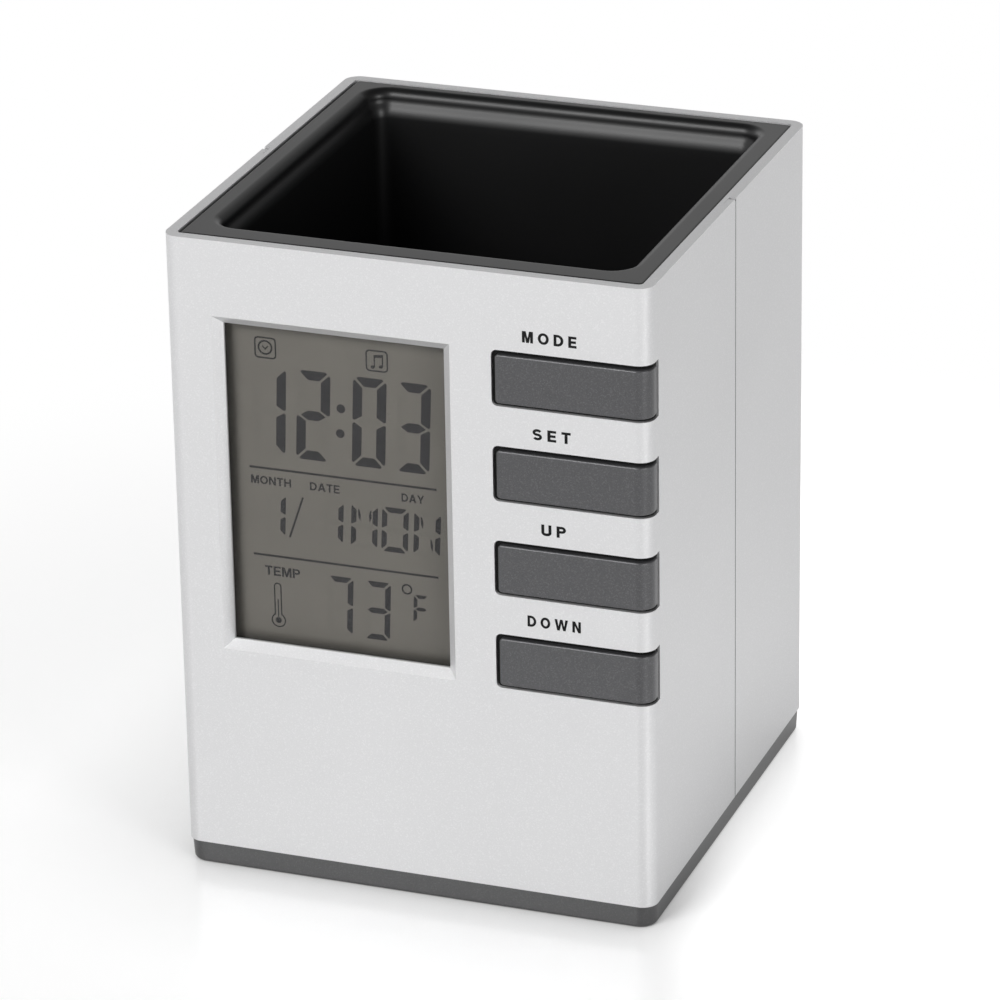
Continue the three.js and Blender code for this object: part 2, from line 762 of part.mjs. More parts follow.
// A contact plate stands on the bay's end wall, its back at y = 0, and faces +Y.
function contactPlate(x, width = contactWidth) {
  return block(x - width / 2, x + width / 2, 0, contactThickness, -contactHeight / 2, contactHeight / 2);
}

function contactTab(x) {
  return block(x - tabWidth / 2, x + tabWidth / 2, -bayWall - tabReach, contactThickness / 2,
    -contactThickness / 2, contactThickness / 2);
}

function wire(points) {
  const sides = 6;
  const section = polygon(Array.from({ length: sides }, (_, i) => {
    const angle = 2 * Math.PI * i / sides;
    return [wireRadius * Math.cos(angle), wireRadius * Math.sin(angle)];
  }));
  const path = new THREE.CatmullRomCurve3(points.map((point) => new THREE.Vector3(...point)));
  return new THREE.ExtrudeGeometry(section, { steps: 20, extrudePath: path });
}

// A battery lead runs from its tab, forward under the cup, and up behind the board to its pad.
function batteryLead(hand) {
  const startY = bayFront - bayWall - tabReach - clearance;
  const bendY = startY - 2 * wireRadius;
  const riseY = boardRear + partsSpace / 2;
  const x = hand * cellX;
  const passZ = Math.max(boardBottom, bayRoof) + 2 * wireRadius;
  const padZ = passZ + leadPadRise;
  return wire([
    [x, startY, cellZ],
    [x, bendY, cellZ],
    [x, Math.min(bendY, riseY), bayRoof - 2 * wireRadius],
    [x, riseY, passZ],
    [x, riseY, (passZ + padZ) / 2],
    [x, riseY, padZ - 2 * wireRadius],
    [x, (riseY + boardRear) / 2, padZ + wireRadius],
    [x, boardRear + clearance, padZ + wireRadius],
  ]);
}

function circuitBoard() {
  const plate = block(-boardHalf, boardHalf, boardFront, boardRear, boardBottom, boardTop);
  const holes = boardScrewPlaces.map(([x, z]) =>
    barY(boardScrewRadius + clearance, x, z, boardFront - overrun, boardRear + overrun, 8));
  return geometryOf(cut(solid(plate), ...holes));
}

function chipBlob() {
  const rings = 4;
  const profile = [[0, 0]];
  for (let i = 0; i < rings; i += 1) {
    const angle = (Math.PI / 2) * (i / rings);
    profile.push([blobRadius * Math.cos(angle), blobHeight * Math.sin(angle)]);
  }
  profile.push([0, blobHeight]);
  return turned(profile, 16);
}

function buzzer() {
  return turned([
    [0, 0],
    [buzzerRadius, 0],
    [buzzerRadius, buzzerHeight],
    [buzzerHoleRadius, buzzerHeight],
    [buzzerHoleRadius, buzzerHeight / 2],
    [0, buzzerHeight / 2],
  ], 20);
}

function crystal() {
  const can = new THREE.CylinderGeometry(crystalRadius, crystalRadius, crystalLength, 10);
  can.rotateX(Math.PI / 2).translate(0, crystalRadius + clearance, 0);
  const leads = [-1, 1].map((hand) => {
    const x = hand * crystalRadius / 2;
    const half = leadThickness / 2;
    const end = -crystalLength / 2;
    const axis = crystalRadius + clearance;
    const tip = end - 2 * leadThickness;
    return [
      block(x - half, x + half, axis - half, axis + half, tip, end + leadThickness),
      block(x - half, x + half, 0, axis + half, tip, tip + leadThickness),
    ];
  });
  return geometryOf(joined(can, ...leads.flat()));
}

function temperatureSensor() {
  const bead = new THREE.SphereGeometry(sensorRadius, 10, 6).translate(0, 0, -sensorLeadLength);
  const half = leadThickness / 2;
  const leads = [-1, 1].map((hand) => {
    const x = hand * sensorRadius / 2;
    return block(x - half, x + half, -half, half, -sensorLeadLength, 0);
  });
  return geometryOf(joined(bead, ...leads));
}

// Assembly

const housing = new THREE.Group();
housing.add(
  piece('front_shell', frontShell(), silverPaint),
  piece('rear_shell', rearShell(), silverPaint),
  piece('pen_cup', penCup(), cupPlastic),
  piece('base_plate', basePlate(), greyPlastic),
  piece('battery_door', batteryDoor(), greyPlastic),
);

const cornerNames = ['front_left', 'front_right', 'rear_left', 'rear_right'];
cornerNames.forEach((corner, i) => {
  const [sx, sy] = cornerSigns[i];
  housing.add(
    piece(`foot_${corner}`, foot(), blackRubber, [sx * screwX, sy * footY, 0]),
    piece(`base_screw_${corner}`, baseScrew(), platedSteel,
      [sx * screwX, sy * screwY, footStand + screwHeadSunk + screwHeadHeight]),
  );
});

const display = new THREE.Group();
const midZ = (sightTop + sightBottom) / 2;
display.add(
  piece('window_lens', slab(sightLeft - lensOverlap, sightRight + lensOverlap,
    sightBottom - lensOverlap, sightTop + lensOverlap, lensFront, lensThickness), clearPlastic),
  piece('front_polariser',
    slab(glassLeft, glassRight, glassBottom, glassTop, filmFront, filmThickness), polarFilm),
  piece('lcd_front_glass',
    slab(glassLeft, glassRight, glassBottom, glassTop, frontGlassFront, glassThickness), displayGlass),
  piece('lcd_rear_glass', slab(glassLeft, glassRight, glassBottom + contactLedge, glassTop - contactLedge,
    rearGlassFront, glassThickness), displayGlass),
  piece('rear_reflector', slab(glassLeft, glassRight, glassBottom + contactLedge, glassTop - contactLedge,
    reflectorFront, filmThickness), polarFilm),
  piece('lcd_holder', displayHolder(), whitePlastic),
);
const stripShelf = glassLeft + holderShelf + clearance;
const stripEnd = glassRight - holderShelf - clearance;
[['upper', glassTop - stripWidth], ['lower', glassBottom]].forEach(([row, bottom]) => {
  display.add(piece(`contact_strip_${row}`,
    slab(stripShelf, stripEnd, bottom, bottom + stripWidth, rearGlassFront, stripHeight), pinkRubber));
});

const electronics = new THREE.Group();
electronics.add(
  piece('circuit_board', circuitBoard(), boardGreen),
  piece('chip_blob', chipBlob(), blackResin, [(glassLeft + glassRight) / 2, boardRear, midZ]),
  piece('buzzer', buzzer(), blackPlastic,
    [-boardHalf / 2, boardRear, boardBottom + boardScrewRise + buzzerRadius]),
  piece('quartz_crystal', crystal(), platedSteel,
    [(glassLeft + glassRight) / 2 + 2 * blobRadius, boardRear, midZ]),
  piece('temperature_sensor', temperatureSensor(), blackResin,
    [0, boardFront + boardThickness / 2, boardBottom]),
);
[-1, 1].forEach((hand, i) => {
  const x = (glassLeft + glassRight) / 2 + hand * (chipLength + chipWidth);
  const z = midZ - 2 * blobRadius;
  const half = chipLength / 2;
  const chip = block(x - half, x + half, boardRear, boardRear + chipWidth, z, z + chipWidth);
  electronics.add(piece(`chip_capacitor_${i + 1}`, chip, ceramicTan));
});
boardScrewPlaces.forEach(([x, z], i) => {
  electronics.add(piece(`board_screw_${i + 1}`, boardScrew(), platedSteel, [x, boardRear, z]));
});

const keys = new THREE.Group();
const keyNames = ['mode', 'set', 'up', 'down'];
keyNames.forEach((name, row) => {
  const bottom = keyBottoms[row] + keyGap - keySag;
  const z = bottom + keyHeight / 2;
  keys.add(
    piece(`key_${name}`, keyCap(), keyPlastic, [0, 0, bottom]),
    piece(`switch_plunger_${name}`, plunger(), whitePlastic, [keyPostX, boardFront - switchHeight, z]),
    piece(`switch_body_${name}`, switchBody(), blackPlastic, [keyPostX, boardFront, z]),
  );
});

const power = new THREE.Group();
const cellMiddle = (bayFront + bayRear) / 2;
const tipOffset = bayLength / 2 - contactThickness - clearance - cellLength / 2;
const bridgeTurned = geometryOf(joined(
  contactPlate(0, 2 * cellX + contactWidth),
  springCoil().translate(cellX, 0, 0),
)).rotateZ(Math.PI);
power.add(
  piece('cell_left', cell().rotateZ(Math.PI), cellJacket, [-cellX, cellMiddle - tipOffset, cellZ]),
  piece('cell_right', cell(), cellJacket, [cellX, cellMiddle + tipOffset, cellZ]),
  piece('contact_positive', geometryOf(joined(contactPlate(0), contactTab(0))), platedSteel,
    [-cellX, bayFront, cellZ]),
  piece('contact_negative', geometryOf(joined(contactPlate(0), contactTab(0), springCoil())), platedSteel,
    [cellX, bayFront, cellZ]),
  piece('contact_bridge', bridgeTurned, platedSteel, [0, bayRear, cellZ]),
  piece('battery_lead_red', batteryLead(-1), redWire),
  piece('battery_lead_black', batteryLead(1), blackWire),
);

const penHolderClock = new THREE.Group();
penHolderClock.add(housing, display, electronics, keys, power);
penHolderClock.position.y = keyProud / 2;

export default penHolderClock;
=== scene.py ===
"""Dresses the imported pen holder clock: finished pieces over its frame, a floor, lamps and a camera."""

import math

import bmesh
import bpy
from mathutils import Matrix, Vector


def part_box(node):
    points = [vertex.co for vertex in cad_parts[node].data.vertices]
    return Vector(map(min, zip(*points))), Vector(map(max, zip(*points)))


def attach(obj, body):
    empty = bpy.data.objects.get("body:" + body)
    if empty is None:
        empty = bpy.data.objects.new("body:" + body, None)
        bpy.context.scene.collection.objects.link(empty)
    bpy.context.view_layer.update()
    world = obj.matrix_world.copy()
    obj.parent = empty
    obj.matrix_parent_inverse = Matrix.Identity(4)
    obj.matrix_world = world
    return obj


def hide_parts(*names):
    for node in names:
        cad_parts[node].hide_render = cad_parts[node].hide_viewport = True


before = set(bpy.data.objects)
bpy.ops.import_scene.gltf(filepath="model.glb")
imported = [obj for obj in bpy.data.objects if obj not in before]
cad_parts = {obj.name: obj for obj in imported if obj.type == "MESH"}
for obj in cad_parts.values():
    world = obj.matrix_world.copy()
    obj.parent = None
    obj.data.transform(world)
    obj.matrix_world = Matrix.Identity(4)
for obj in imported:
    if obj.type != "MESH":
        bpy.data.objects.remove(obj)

bl_info = {
    "name": "Pen Holder Clock",
    "version": (1, 0, 0),
    "blender": (4, 5, 0),
    "location": "View3D > Sidebar > Pen Clock",
    "description": "Models the housing, cup, keys, base and display of a pen holder clock over its frame",
    "category": "Object",
}

MM = 0.001
REACH = 5 * MM  # how far a cutter reaches past what it cuts
NEAR = 0.02 * MM  # how near a part has to lie to a place to count as there
SIDES = (-1, 1)
KEYS = ("mode", "set", "up", "down")
CORNERS = ("front_left", "front_right", "rear_left", "rear_right")
KEY_OVERLAP = 0.8 * MM  # how far a key's flange reaches behind the housing all round
SLOT_END = -35.175 * MM  # where the key slots end on the right side


# Settings

def length(name, size, description):
    """A length setting, its default given in millimetres."""
    return bpy.props.FloatProperty(
        name=name, description=description, default=size * MM, min=0, precision=5, unit="LENGTH")


def linear(code):
    """Turns an sRGB hex colour into linear red, green, blue and alpha."""
    shares = [int(code[i:i + 2], 16) / 255 for i in (0, 2, 4)]
    return [c / 12.92 if c <= 0.04045 else ((c + 0.055) / 1.055) ** 2.4 for c in shares] + [1]


def colour(name, code, description):
    """A colour setting, its default given as sRGB hex."""
    return bpy.props.FloatVectorProperty(
        name=name, description=description, default=linear(code), size=4, min=0, max=1, subtype="COLOR")


class HousingSizes(bpy.types.PropertyGroup):
    corner: length("Corner radius", 2.5, "Rounding of the four upright corners")
    wall: length("Wall", 1.8, "Thickness of the silver walls")
    rear_wall: length("Rear wall", 1.65, "Thickness of the rear wall")
    inside_corner: length("Inside corner", 0.8, "Rounding of the upright corners inside")
    edge: length("Edge", 0.2, "Softening of the moulded edges")
    seam: length("Seam", 0.3, "Width of the groove where the two shells meet")
    seam_corner: length("Seam corner", 0.7, "Rounding of the front shell's upper corners at the seam")
    lap: length("Lap thickness", 0.8, "Thickness of the tongue where the two shells overlap")
    lap_gap: length("Lap gap", 0.05, "Play between the tongue and the front shell")
    # The seam strip is painted shade: a black strip that stands in for the shadow in the seam groove.
    strip_sunk: length("Seam strip depth", 0.05, "How far the black strip in the seam lies below the paint")
    strip_play: length("Seam strip play", 0.02, "Play between the strip and the shells")
    ledge_width: length("Ledge width", 8, "Width of each ledge that carries the cup")
    ledge_height: length("Ledge height", 3, "Height of each ledge that carries the cup")
    ledge_spread: length("Ledge spread", 18, "Distance of the ledges from the middle of a wall")
    ledge_reach: length("Ledge reach", 1.3, "How far the ledges stand out of the wall")
    post: length("Screw post", 7.2, "Width of the posts that take the base screws")
    post_height: length("Screw post height", 10, "Height of the posts that take the base screws")
    bezel: length("Window bezel", 1.4, "Width and depth of the sloped frame of the window")
    slot_corner: length("Slot corner", 0.9, "Rounding of the left corners of the key slots")
    boss: length("Boss radius", 2.1, "Radius of the bosses that carry the circuit board")


class CupSizes(bpy.types.PropertyGroup):
    rim: length("Rim thickness", 2, "Thickness of the rim")
    rim_edge: length("Rim edge", 0.35, "Rounding of the rim's outer edge")
    lip: length("Lip radius", 1.5, "Rounding of the edge that leads into the mouth")
    rim_width: length("Rim width", 3.95, "Width of the rim from its outer edge to the mouth at the sides")
    mouth_shift: length("Mouth shift", 1.3, "How far the mouth lies behind the middle")
    mouth_corner: length("Mouth corner", 3.5, "Rounding of the upright corners of the mouth")
    mouth_depth: length("Mouth depth", 2, "Depth of the upright part of the mouth")
    step: length("Step", 1, "How far the walls draw in below the mouth")
    step_height: length("Step height", 1.65, "Height of the sloped step below the mouth")
    step_edge: length("Step edge", 0.49, "Rounding of the sloped step's upper edge")
    step_foot: length("Step foot", 0.95, "Rounding of the sloped step's lower edge")
    wall: length("Wall", 1.5, "Thickness of the cup's walls and floor")
    brow: length("Brow", 3.38, "Upright stretch of the front wall between the step and its slope")
    front_slope: length("Front slope", 7.7, "How far the front wall slopes back over the clockwork")
    floor_corner: length("Floor corner", 1.2, "Rounding where the walls meet the floor")


class KeySizes(bpy.types.PropertyGroup):
    corner: length("Corner radius", 2.5, "Rounding where a key wraps round the housing's corner")
    left_corner: length("Left corner", 0.6, "Rounding of the two left corners")
    edge: length("Edge", 0.3, "Rounding of the front edges")
    skin: length("Skin", 1.4, "Thickness of the hollow cap")
    flange: length("Flange", 1, "Thickness of the flange behind the wall")
    post: length("Post radius", 1.5, "Radius of the post that meets the switch")


class BaseSizes(bpy.types.PropertyGroup):
    corner: length("Corner radius", 2.8, "Rounding of the four upright corners")
    edge: length("Bottom edge", 0.5, "Rounding of the lower edge")
    draft: length("Draft", 0.2, "How far the sides draw in towards the bottom")
    flare: length("Flare", 0.2, "How far the sides stand out of the frame's plate")
    drop: length("Drop", 0.25, "How far the underside lies below the frame's plate, still above the feet")
    slab: length("Slab", 3.75, "Thickness of the base")
    groove: length("Grip groove", 1, "Width of each grip groove in the battery door")


class Colours(bpy.types.PropertyGroup):
    silver: colour("Silver paint", "DCDCDD", "Metallic paint of the two shells")
    keys: colour("Key paint", "4B4B4D", "Speckled paint of the keys")
    base: colour("Base", "3C3C3D", "Speckled plastic of the base")
    cup: colour("Cup", "0B0B0C", "Satin plastic of the cup")
    display: colour("Display ground", "8C8880", "Ground of the display")
    segment: colour("Segment", "302F32", "Lit segments of the display")
    label: colour("Label ink", "0A0A0B", "Ink of the printed words")
    floor: colour("Floor", "D8D8D8", "Floor of the studio")


class PenClock(bpy.types.PropertyGroup):
    housing: bpy.props.PointerProperty(type=HousingSizes)
    cup: bpy.props.PointerProperty(type=CupSizes)
    key: bpy.props.PointerProperty(type=KeySizes)
    base: bpy.props.PointerProperty(type=BaseSizes)
    colours: bpy.props.PointerProperty(type=Colours)


# Places in the frame

def nodes_of(kind, names):
    """The nodes of one kind, told apart by the ends of their names."""
    return [f"{kind}_{name}" for name in names]


def centre_of(node):
    """The middle of a node's box."""
    return [(low + high) / 2 for low, high in zip(*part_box(node))]


def middle_y():
    """The middle of the housing along Y, which the keys in front of it push off centre."""
    return (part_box("front_shell")[0].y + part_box("rear_shell")[1].y) / 2


# Modelling

def only(piece):
    """Leaves object mode with this piece alone selected and active."""
    if bpy.context.mode != "OBJECT":
        bpy.ops.object.mode_set(mode="OBJECT")
    bpy.ops.object.select_all(action="DESELECT")
    if piece is not None:
        piece.select_set(True)
        bpy.context.view_layer.objects.active = piece


def settle(piece, name):
    """Names a piece and moves its place, turn and scale into its mesh."""
    piece.name = name
    only(piece)
    bpy.ops.object.transform_apply(location=True, rotation=True, scale=True)
    return piece


def block(name, *ranges):
    """A box over a range along X, Y and Z, each from either end, to be shaped further."""
    only(None)
    low, high = Vector([min(ends) for ends in ranges]), Vector([max(ends) for ends in ranges])
    bpy.ops.mesh.primitive_cube_add(size=1, location=(low + high) / 2, scale=high - low)
    return settle(bpy.context.active_object, name)


def rod(name, radius, start, end, sides=32):
    """A round bar between two points in line with an axis, to be shaped further."""
    only(None)
    start, end = Vector(start), Vector(end)
    turn = (end - start).to_track_quat("Z", "Y").to_euler()
    bpy.ops.mesh.primitive_cylinder_add(vertices=sides, radius=radius, depth=(end - start).length,
                                        location=(start + end) / 2, rotation=turn)
    return settle(bpy.context.active_object, name)


def shape(piece, kind, wanted, *steps):
    """Selects the wanted vertices, edges or faces in edit mode and works on them step by step."""
    only(piece)
    bpy.ops.object.mode_set(mode="EDIT")
    bpy.ops.mesh.select_mode(type=kind)
    bpy.ops.mesh.select_all(action="DESELECT")
    mesh = bmesh.from_edit_mesh(piece.data)
    parts = {"VERT": mesh.verts, "EDGE": mesh.edges, "FACE": mesh.faces}[kind]
    found = [part for part in parts if wanted(part)]
    if not found:
        raise RuntimeError(f"there is nothing to work on in {piece.name}")
    for part in found:
        part.select_set(True)
    mesh.select_flush_mode()
    bmesh.update_edit_mesh(piece.data)
    for operate, settings in steps:
        operate(**settings)
    bpy.ops.object.mode_set(mode="OBJECT")
    return piece


def carry(way):
    """Step: extrudes the selection by a way."""
    return bpy.ops.mesh.extrude_region_move, {"TRANSFORM_OT_translate": {"value": way}}


def move(way):
    """Step: moves the selection."""
    return bpy.ops.transform.translate, {"value": way}


def resize(scale, centre):
    """Step: scales the selection about a point."""
    return bpy.ops.transform.resize, {"value": scale, "center_override": centre}


def inset(width, rise=0):
    """Step: draws a smaller face inside the selected one, raised or sunk by a height."""
    return bpy.ops.mesh.inset, {"thickness": width, "depth": rise, "use_even_offset": True}


def rounding(radius, segments):
    """Step: rounds the selected edges."""
    return bpy.ops.mesh.bevel, {"offset": radius, "segments": segments, "affect": "EDGES"}


def at(**places):
    """Picks the vertices, edges or faces that lie whole at places such as x=left."""
    def wanted(part):
        corners = [part] if isinstance(part, bmesh.types.BMVert) else part.verts
        return all(abs(vert.co["xyz".index(axis)] - place) < NEAR
                   for axis, place in places.items() for vert in corners)
    return wanted


def round_edges(piece, radius, segments, along=None, **places):
    """Rounds the edges that run along an axis, if one is named, and lie at the given places."""
    def wanted(edge):
        way = edge.verts[1].co - edge.verts[0].co
        return (along is None or abs(way["xyz".index(along)]) > 0.999 * way.length) and at(**places)(edge)
    return shape(piece, "EDGE", wanted, rounding(radius, segments))


def modified(piece, kind, **settings):
    """Adds one modifier and applies it."""
    only(piece)
    modifier = piece.modifiers.new(kind.title(), kind)
    for name, value in settings.items():
        setattr(modifier, name, value)
    bpy.ops.object.modifier_apply(modifier=modifier.name)


def combined(piece, tools, operation):
    """Joins, cuts or trims a piece with others, which are used up."""
    for tool in tools:
        modified(piece, "BOOLEAN", object=tool, operation=operation, solver="EXACT")
        bpy.data.objects.remove(tool)
    return piece


def unite(piece, *tools):
    """Joins other pieces to one."""
    return combined(piece, tools, "UNION")


def cut(piece, *tools):
    """Cuts other pieces out of one."""
    return combined(piece, tools, "DIFFERENCE")


def copied(piece, name, shift=(0, 0, 0)):
    """A copy with its own mesh, moved by a shift."""
    only(piece)
    bpy.ops.object.duplicate(linked=False)
    twin = bpy.context.active_object
    bpy.ops.transform.translate(value=shift)
    return settle(twin, name)


def row(first, nodes):
    """A piece made for the first of some like nodes, and its copies for the others."""
    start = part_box(nodes[0])[0]
    return [first] + [copied(first, "copy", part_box(node)[0] - start) for node in nodes[1:]]


def painted(piece, finish_name):
    """Gives a piece its material."""
    piece.data.materials.clear()
    piece.data.materials.append(bpy.data.materials[finish_name])


def finish(piece, finish_name, nodes=(), body="housing", edge=0, angle=35):
    """Softens and shades a piece, gives it its material and sets it on its body."""
    if edge:
        modified(piece, "BEVEL", width=edge, segments=2, limit_method="ANGLE",
                 angle_limit=math.radians(angle), use_clamp_overlap=True)
    only(piece)
    bpy.ops.object.shade_smooth_by_angle(angle=math.radians(angle))
    modified(piece, "WEIGHTED_NORMAL", keep_sharp=True)
    painted(piece, finish_name)
    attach(piece, body)
    if nodes:
        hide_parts(*nodes)


# Finishes

def feed(owner, node, values):
    """Sets a shader node's inputs and settings, or links an input where its value is a socket."""
    for name, value in values.items():
        if isinstance(value, bpy.types.NodeSocket):
            owner.node_tree.links.new(value, node.inputs[name])
        elif isinstance(name, int) or name in node.inputs:
            node.inputs[name].default_value = value
        else:
            setattr(node, name, value)


def add_node(owner, kind, values=None):
    """Adds a shader node to a material or world and gives it its values; its outputs are handed back."""
    node = owner.node_tree.nodes.new("ShaderNode" + kind)
    feed(owner, node, values or {})
    return node.outputs


def new_finish(name, values):
    """An empty material with its surface shader, and the coordinates fixed to the object."""
    material = bpy.data.materials.new(name)
    material.use_nodes = True
    surface = material.node_tree.nodes["Principled BSDF"]
    feed(material, surface, values)
    return material, surface, add_node(material, "TexCoord")["Object"]


def per_mm(size):
    """The scale that gives a pattern features of this size in millimetres."""
    return 1 / (size * MM)


def shade(value, share):
    """A colour made lighter or darker by a share."""
    return [min(1, part * share) for part in value[:3]] + [1]


def mottled(material, pattern, value, spread, margin=0.3):
    """A colour that turns darker and lighter with a pattern, between two margins of it."""
    tint = add_node(material, "ValToRGB", {"Fac": pattern})["Color"]
    stops = tint.node.color_ramp.elements
    for stop, place, share in zip(stops, (margin, 1 - margin), (1 - spread, 1 + spread)):
        stop.position = place
        stop.color = shade(value, share)
    return tint


def grained(name, value, grain, depth, roughness, spread=0.06, speck=None, **values):
    """A moulded or painted surface: a fine grain in colour, roughness and height, and bright specks if given."""
    material, surface, place = new_finish(name, values)
    fine = add_node(material, "TexNoise", {"Scale": per_mm(grain), "Detail": 3, "Vector": place})["Fac"]
    broad = add_node(material, "TexNoise", {"Scale": per_mm(30), "Detail": 2, "Vector": place})["Fac"]
    tint = mottled(material, fine, value, spread)
    if speck:
        size, light, share = speck
        cells = add_node(material, "TexVoronoi", {"Scale": per_mm(size), "Vector": place})["Color"]
        chance = add_node(material, "SeparateColor", {"Color": cells})[0]
        bright = add_node(material, "MapRange", {"Value": chance, "From Min": 1 - share})["Result"]
        tint = add_node(material, "Mix", {"data_type": "RGBA", 0: bright, 6: tint, 7: shade(value, light)})[2]
    feed(material, surface, {
        "Base Color": tint,
        "Roughness": add_node(material, "MapRange", {
            "Value": broad, "To Min": roughness - 0.04, "To Max": roughness + 0.04})["Result"],
        "Normal": add_node(material, "Bump", {"Strength": 1, "Distance": depth * MM, "Height": fine})["Normal"]})


def make_finishes(colours):
    """Makes every material of the object: grain in mm, its depth in mm, roughness and spread of tone."""
    dull, full = {"Specular IOR Level": 0.2}, {"Specular IOR Level": 1}
    # Silver paint with aluminium flake on moulded ABS: a satin metal sheen with a fine sparkle.
    grained("silver_flake_paint", colours.silver, 0.2, 0.001, 0.46, 0.025, (0.18, 1.08, 0.25), Metallic=0.5)
    # Dark grey flake paint on the moulded keys: fine pale specks on a matt ground.
    grained("grey_flake_key_paint", colours.keys, 0.16, 0.003, 0.4, 0.16, (0.16, 1.5, 0.3), Metallic=0.5, **full)
    # Dark grey moulded ABS with flake in it: like the keys, with a little more gloss.
    grained("grey_flake_abs", colours.base, 0.16, 0.003, 0.36, 0.16, (0.16, 1.45, 0.3), Metallic=0.2, **full)
    # Black moulded ABS with a satin mould finish: deep black that greys where it faces the light.
    grained("satin_black_abs", colours.cup, 0.3, 0.002, 0.4, 0.08)
    # Black ABS from a plain mould, for the small parts inside.
    grained("moulded_black_abs", linear("1B1B1C"), 0.3, 0.004, 0.5)
    # Matt black ABS of the key collars and the seam strips, duller than the other blacks: painted shade that keeps
    # the gaps round them dark, as their shadow would.
    grained("matt_black_gap_shade", linear("0C0C0D"), 0.3, 0.004, 0.7, **dull)
    # White moulded ABS: slightly warm and matt.
    grained("moulded_white_abs", linear("D6D5CE"), 0.4, 0.004, 0.5, 0.03)
    # Black moulded rubber of the feet: matt, with a dusty grain.
    grained("moulded_black_rubber", linear("1D1D1D"), 0.15, 0.02, 0.85, 0.25)
    # Layered silicone of the contact strips: soft pink, matt.
    grained("layered_silicone", linear("D8B6AC"), 0.1, 0.005, 0.75, 0.15)
    # Glass-epoxy board under a green solder mask: glossy, with the weave just showing.
    grained("green_solder_mask", linear("1F5C38"), 0.8, 0.01, 0.35, 0.2)
    # Nickel-plated steel, rolled and stamped: bright with fine scratches.
    grained("nickel_plated_steel", linear("C4C6C8"), 0.15, 0.002, 0.28, 0.05, Metallic=1)
    # Cast black epoxy: smooth, glossy and slightly uneven.
    grained("cast_black_epoxy", linear("111112"), 1.5, 0.02, 0.22, 0.1)
    # Fired ceramic of the chip capacitors: tan and matt.
    grained("fired_ceramic", linear("B89A74"), 0.1, 0.004, 0.5, 0.1)
    # Shrunk plastic jacket of the cells: blue, glossy, slightly wavy.
    grained("shrunk_cell_jacket", linear("2F4C6C"), 2, 0.01, 0.3, 0.05)
    # Extruded wire insulation: smooth, half glossy.
    grained("red_wire_insulation", linear("A81C1C"), 0.3, 0.004, 0.45, 0.05)
    grained("black_wire_insulation", linear("151515"), 0.3, 0.004, 0.45, 0.1)
    # Pad-printed black ink: matt, a little uneven at the grain of the paint under it.
    grained("pad_printed_ink", colours.label, 0.2, 0.002, 0.6, 0.2, **dull)
    # Lit liquid crystal: a dark, slightly blue grey, even but for a faint mottling.
    grained("lit_liquid_crystal", colours.segment, 0.8, 0, 0.5, 0.05)
    # Unlit liquid crystal: just darker than the ground, seen only close up.
    grained("unlit_liquid_crystal", shade(colours.display, 0.955), 0.8, 0, 0.5, 0.02)
    # Plain float glass of the rear plate, and the brushed foil reflector behind it.
    grained("float_glass", linear("8E9187"), 5, 0, 0.08, 0.02)
    grained("brushed_reflector_foil", linear("A9ABA2"), 0.1, 0.003, 0.35, 0.1, Metallic=0.6)
    display_ground(colours)
    clear_plastics()


def display_ground(colours):
    """The reflective liquid crystal plate: an even warm grey with painted shade along its left and lower edges, where
    the bezel's shadow falls.
    """
    material, surface, place = new_finish("reflective_display_glass", {"Roughness": 0.45})
    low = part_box("lcd_front_glass")[0]
    parts = add_node(material, "SeparateXYZ", {0: place})
    fade = 3.8 * MM
    # Painted shade: the ground turns to dark grey 2A2A2C over the fade towards its left and lower edges, standing in
    # for the bezel's shadow.
    left, lower = [
        add_node(material, "MapRange", {"interpolation_type": "SMOOTHSTEP", "Value": parts[axis],
                                        "From Min": start, "From Max": start + fade})["Result"]
        for axis, start in (("X", low.x - 0.6 * MM), ("Z", low.z - 0.4 * MM))]
    both = add_node(material, "Math", {"operation": "MINIMUM", 0: left, 1: lower})[0]
    mottle = add_node(material, "TexNoise", {"Scale": per_mm(9), "Detail": 2, "Vector": place})["Fac"]
    ground = mottled(material, mottle, colours.display, 0.03, 0.35)
    feed(material, surface, {"Base Color": add_node(material, "Mix", {
        "data_type": "RGBA", 0: both, 6: linear("2A2A2C"), 7: ground})[2]})


def clear_plastics():
    """Moulded acrylic of the window and the thin film on the display: clear, with a soft gloss."""
    for name, alpha, roughness, code in (("clear_moulded_acrylic", 0.06, 0.06, "3C3D3D"),
                                         ("smoked_polarising_film", 0.1, 0.25, "3E3E3A")):
        material, surface, place = new_finish(name, {"Alpha": alpha, "Base Color": linear(code)})
        haze = add_node(material, "TexNoise", {"Scale": per_mm(12), "Detail": 3, "Vector": place})["Fac"]
        feed(material, surface, {"Roughness": add_node(material, "MapRange", {
            "Value": haze, "To Min": roughness, "To Max": roughness + 0.05})["Result"]})


# Housing

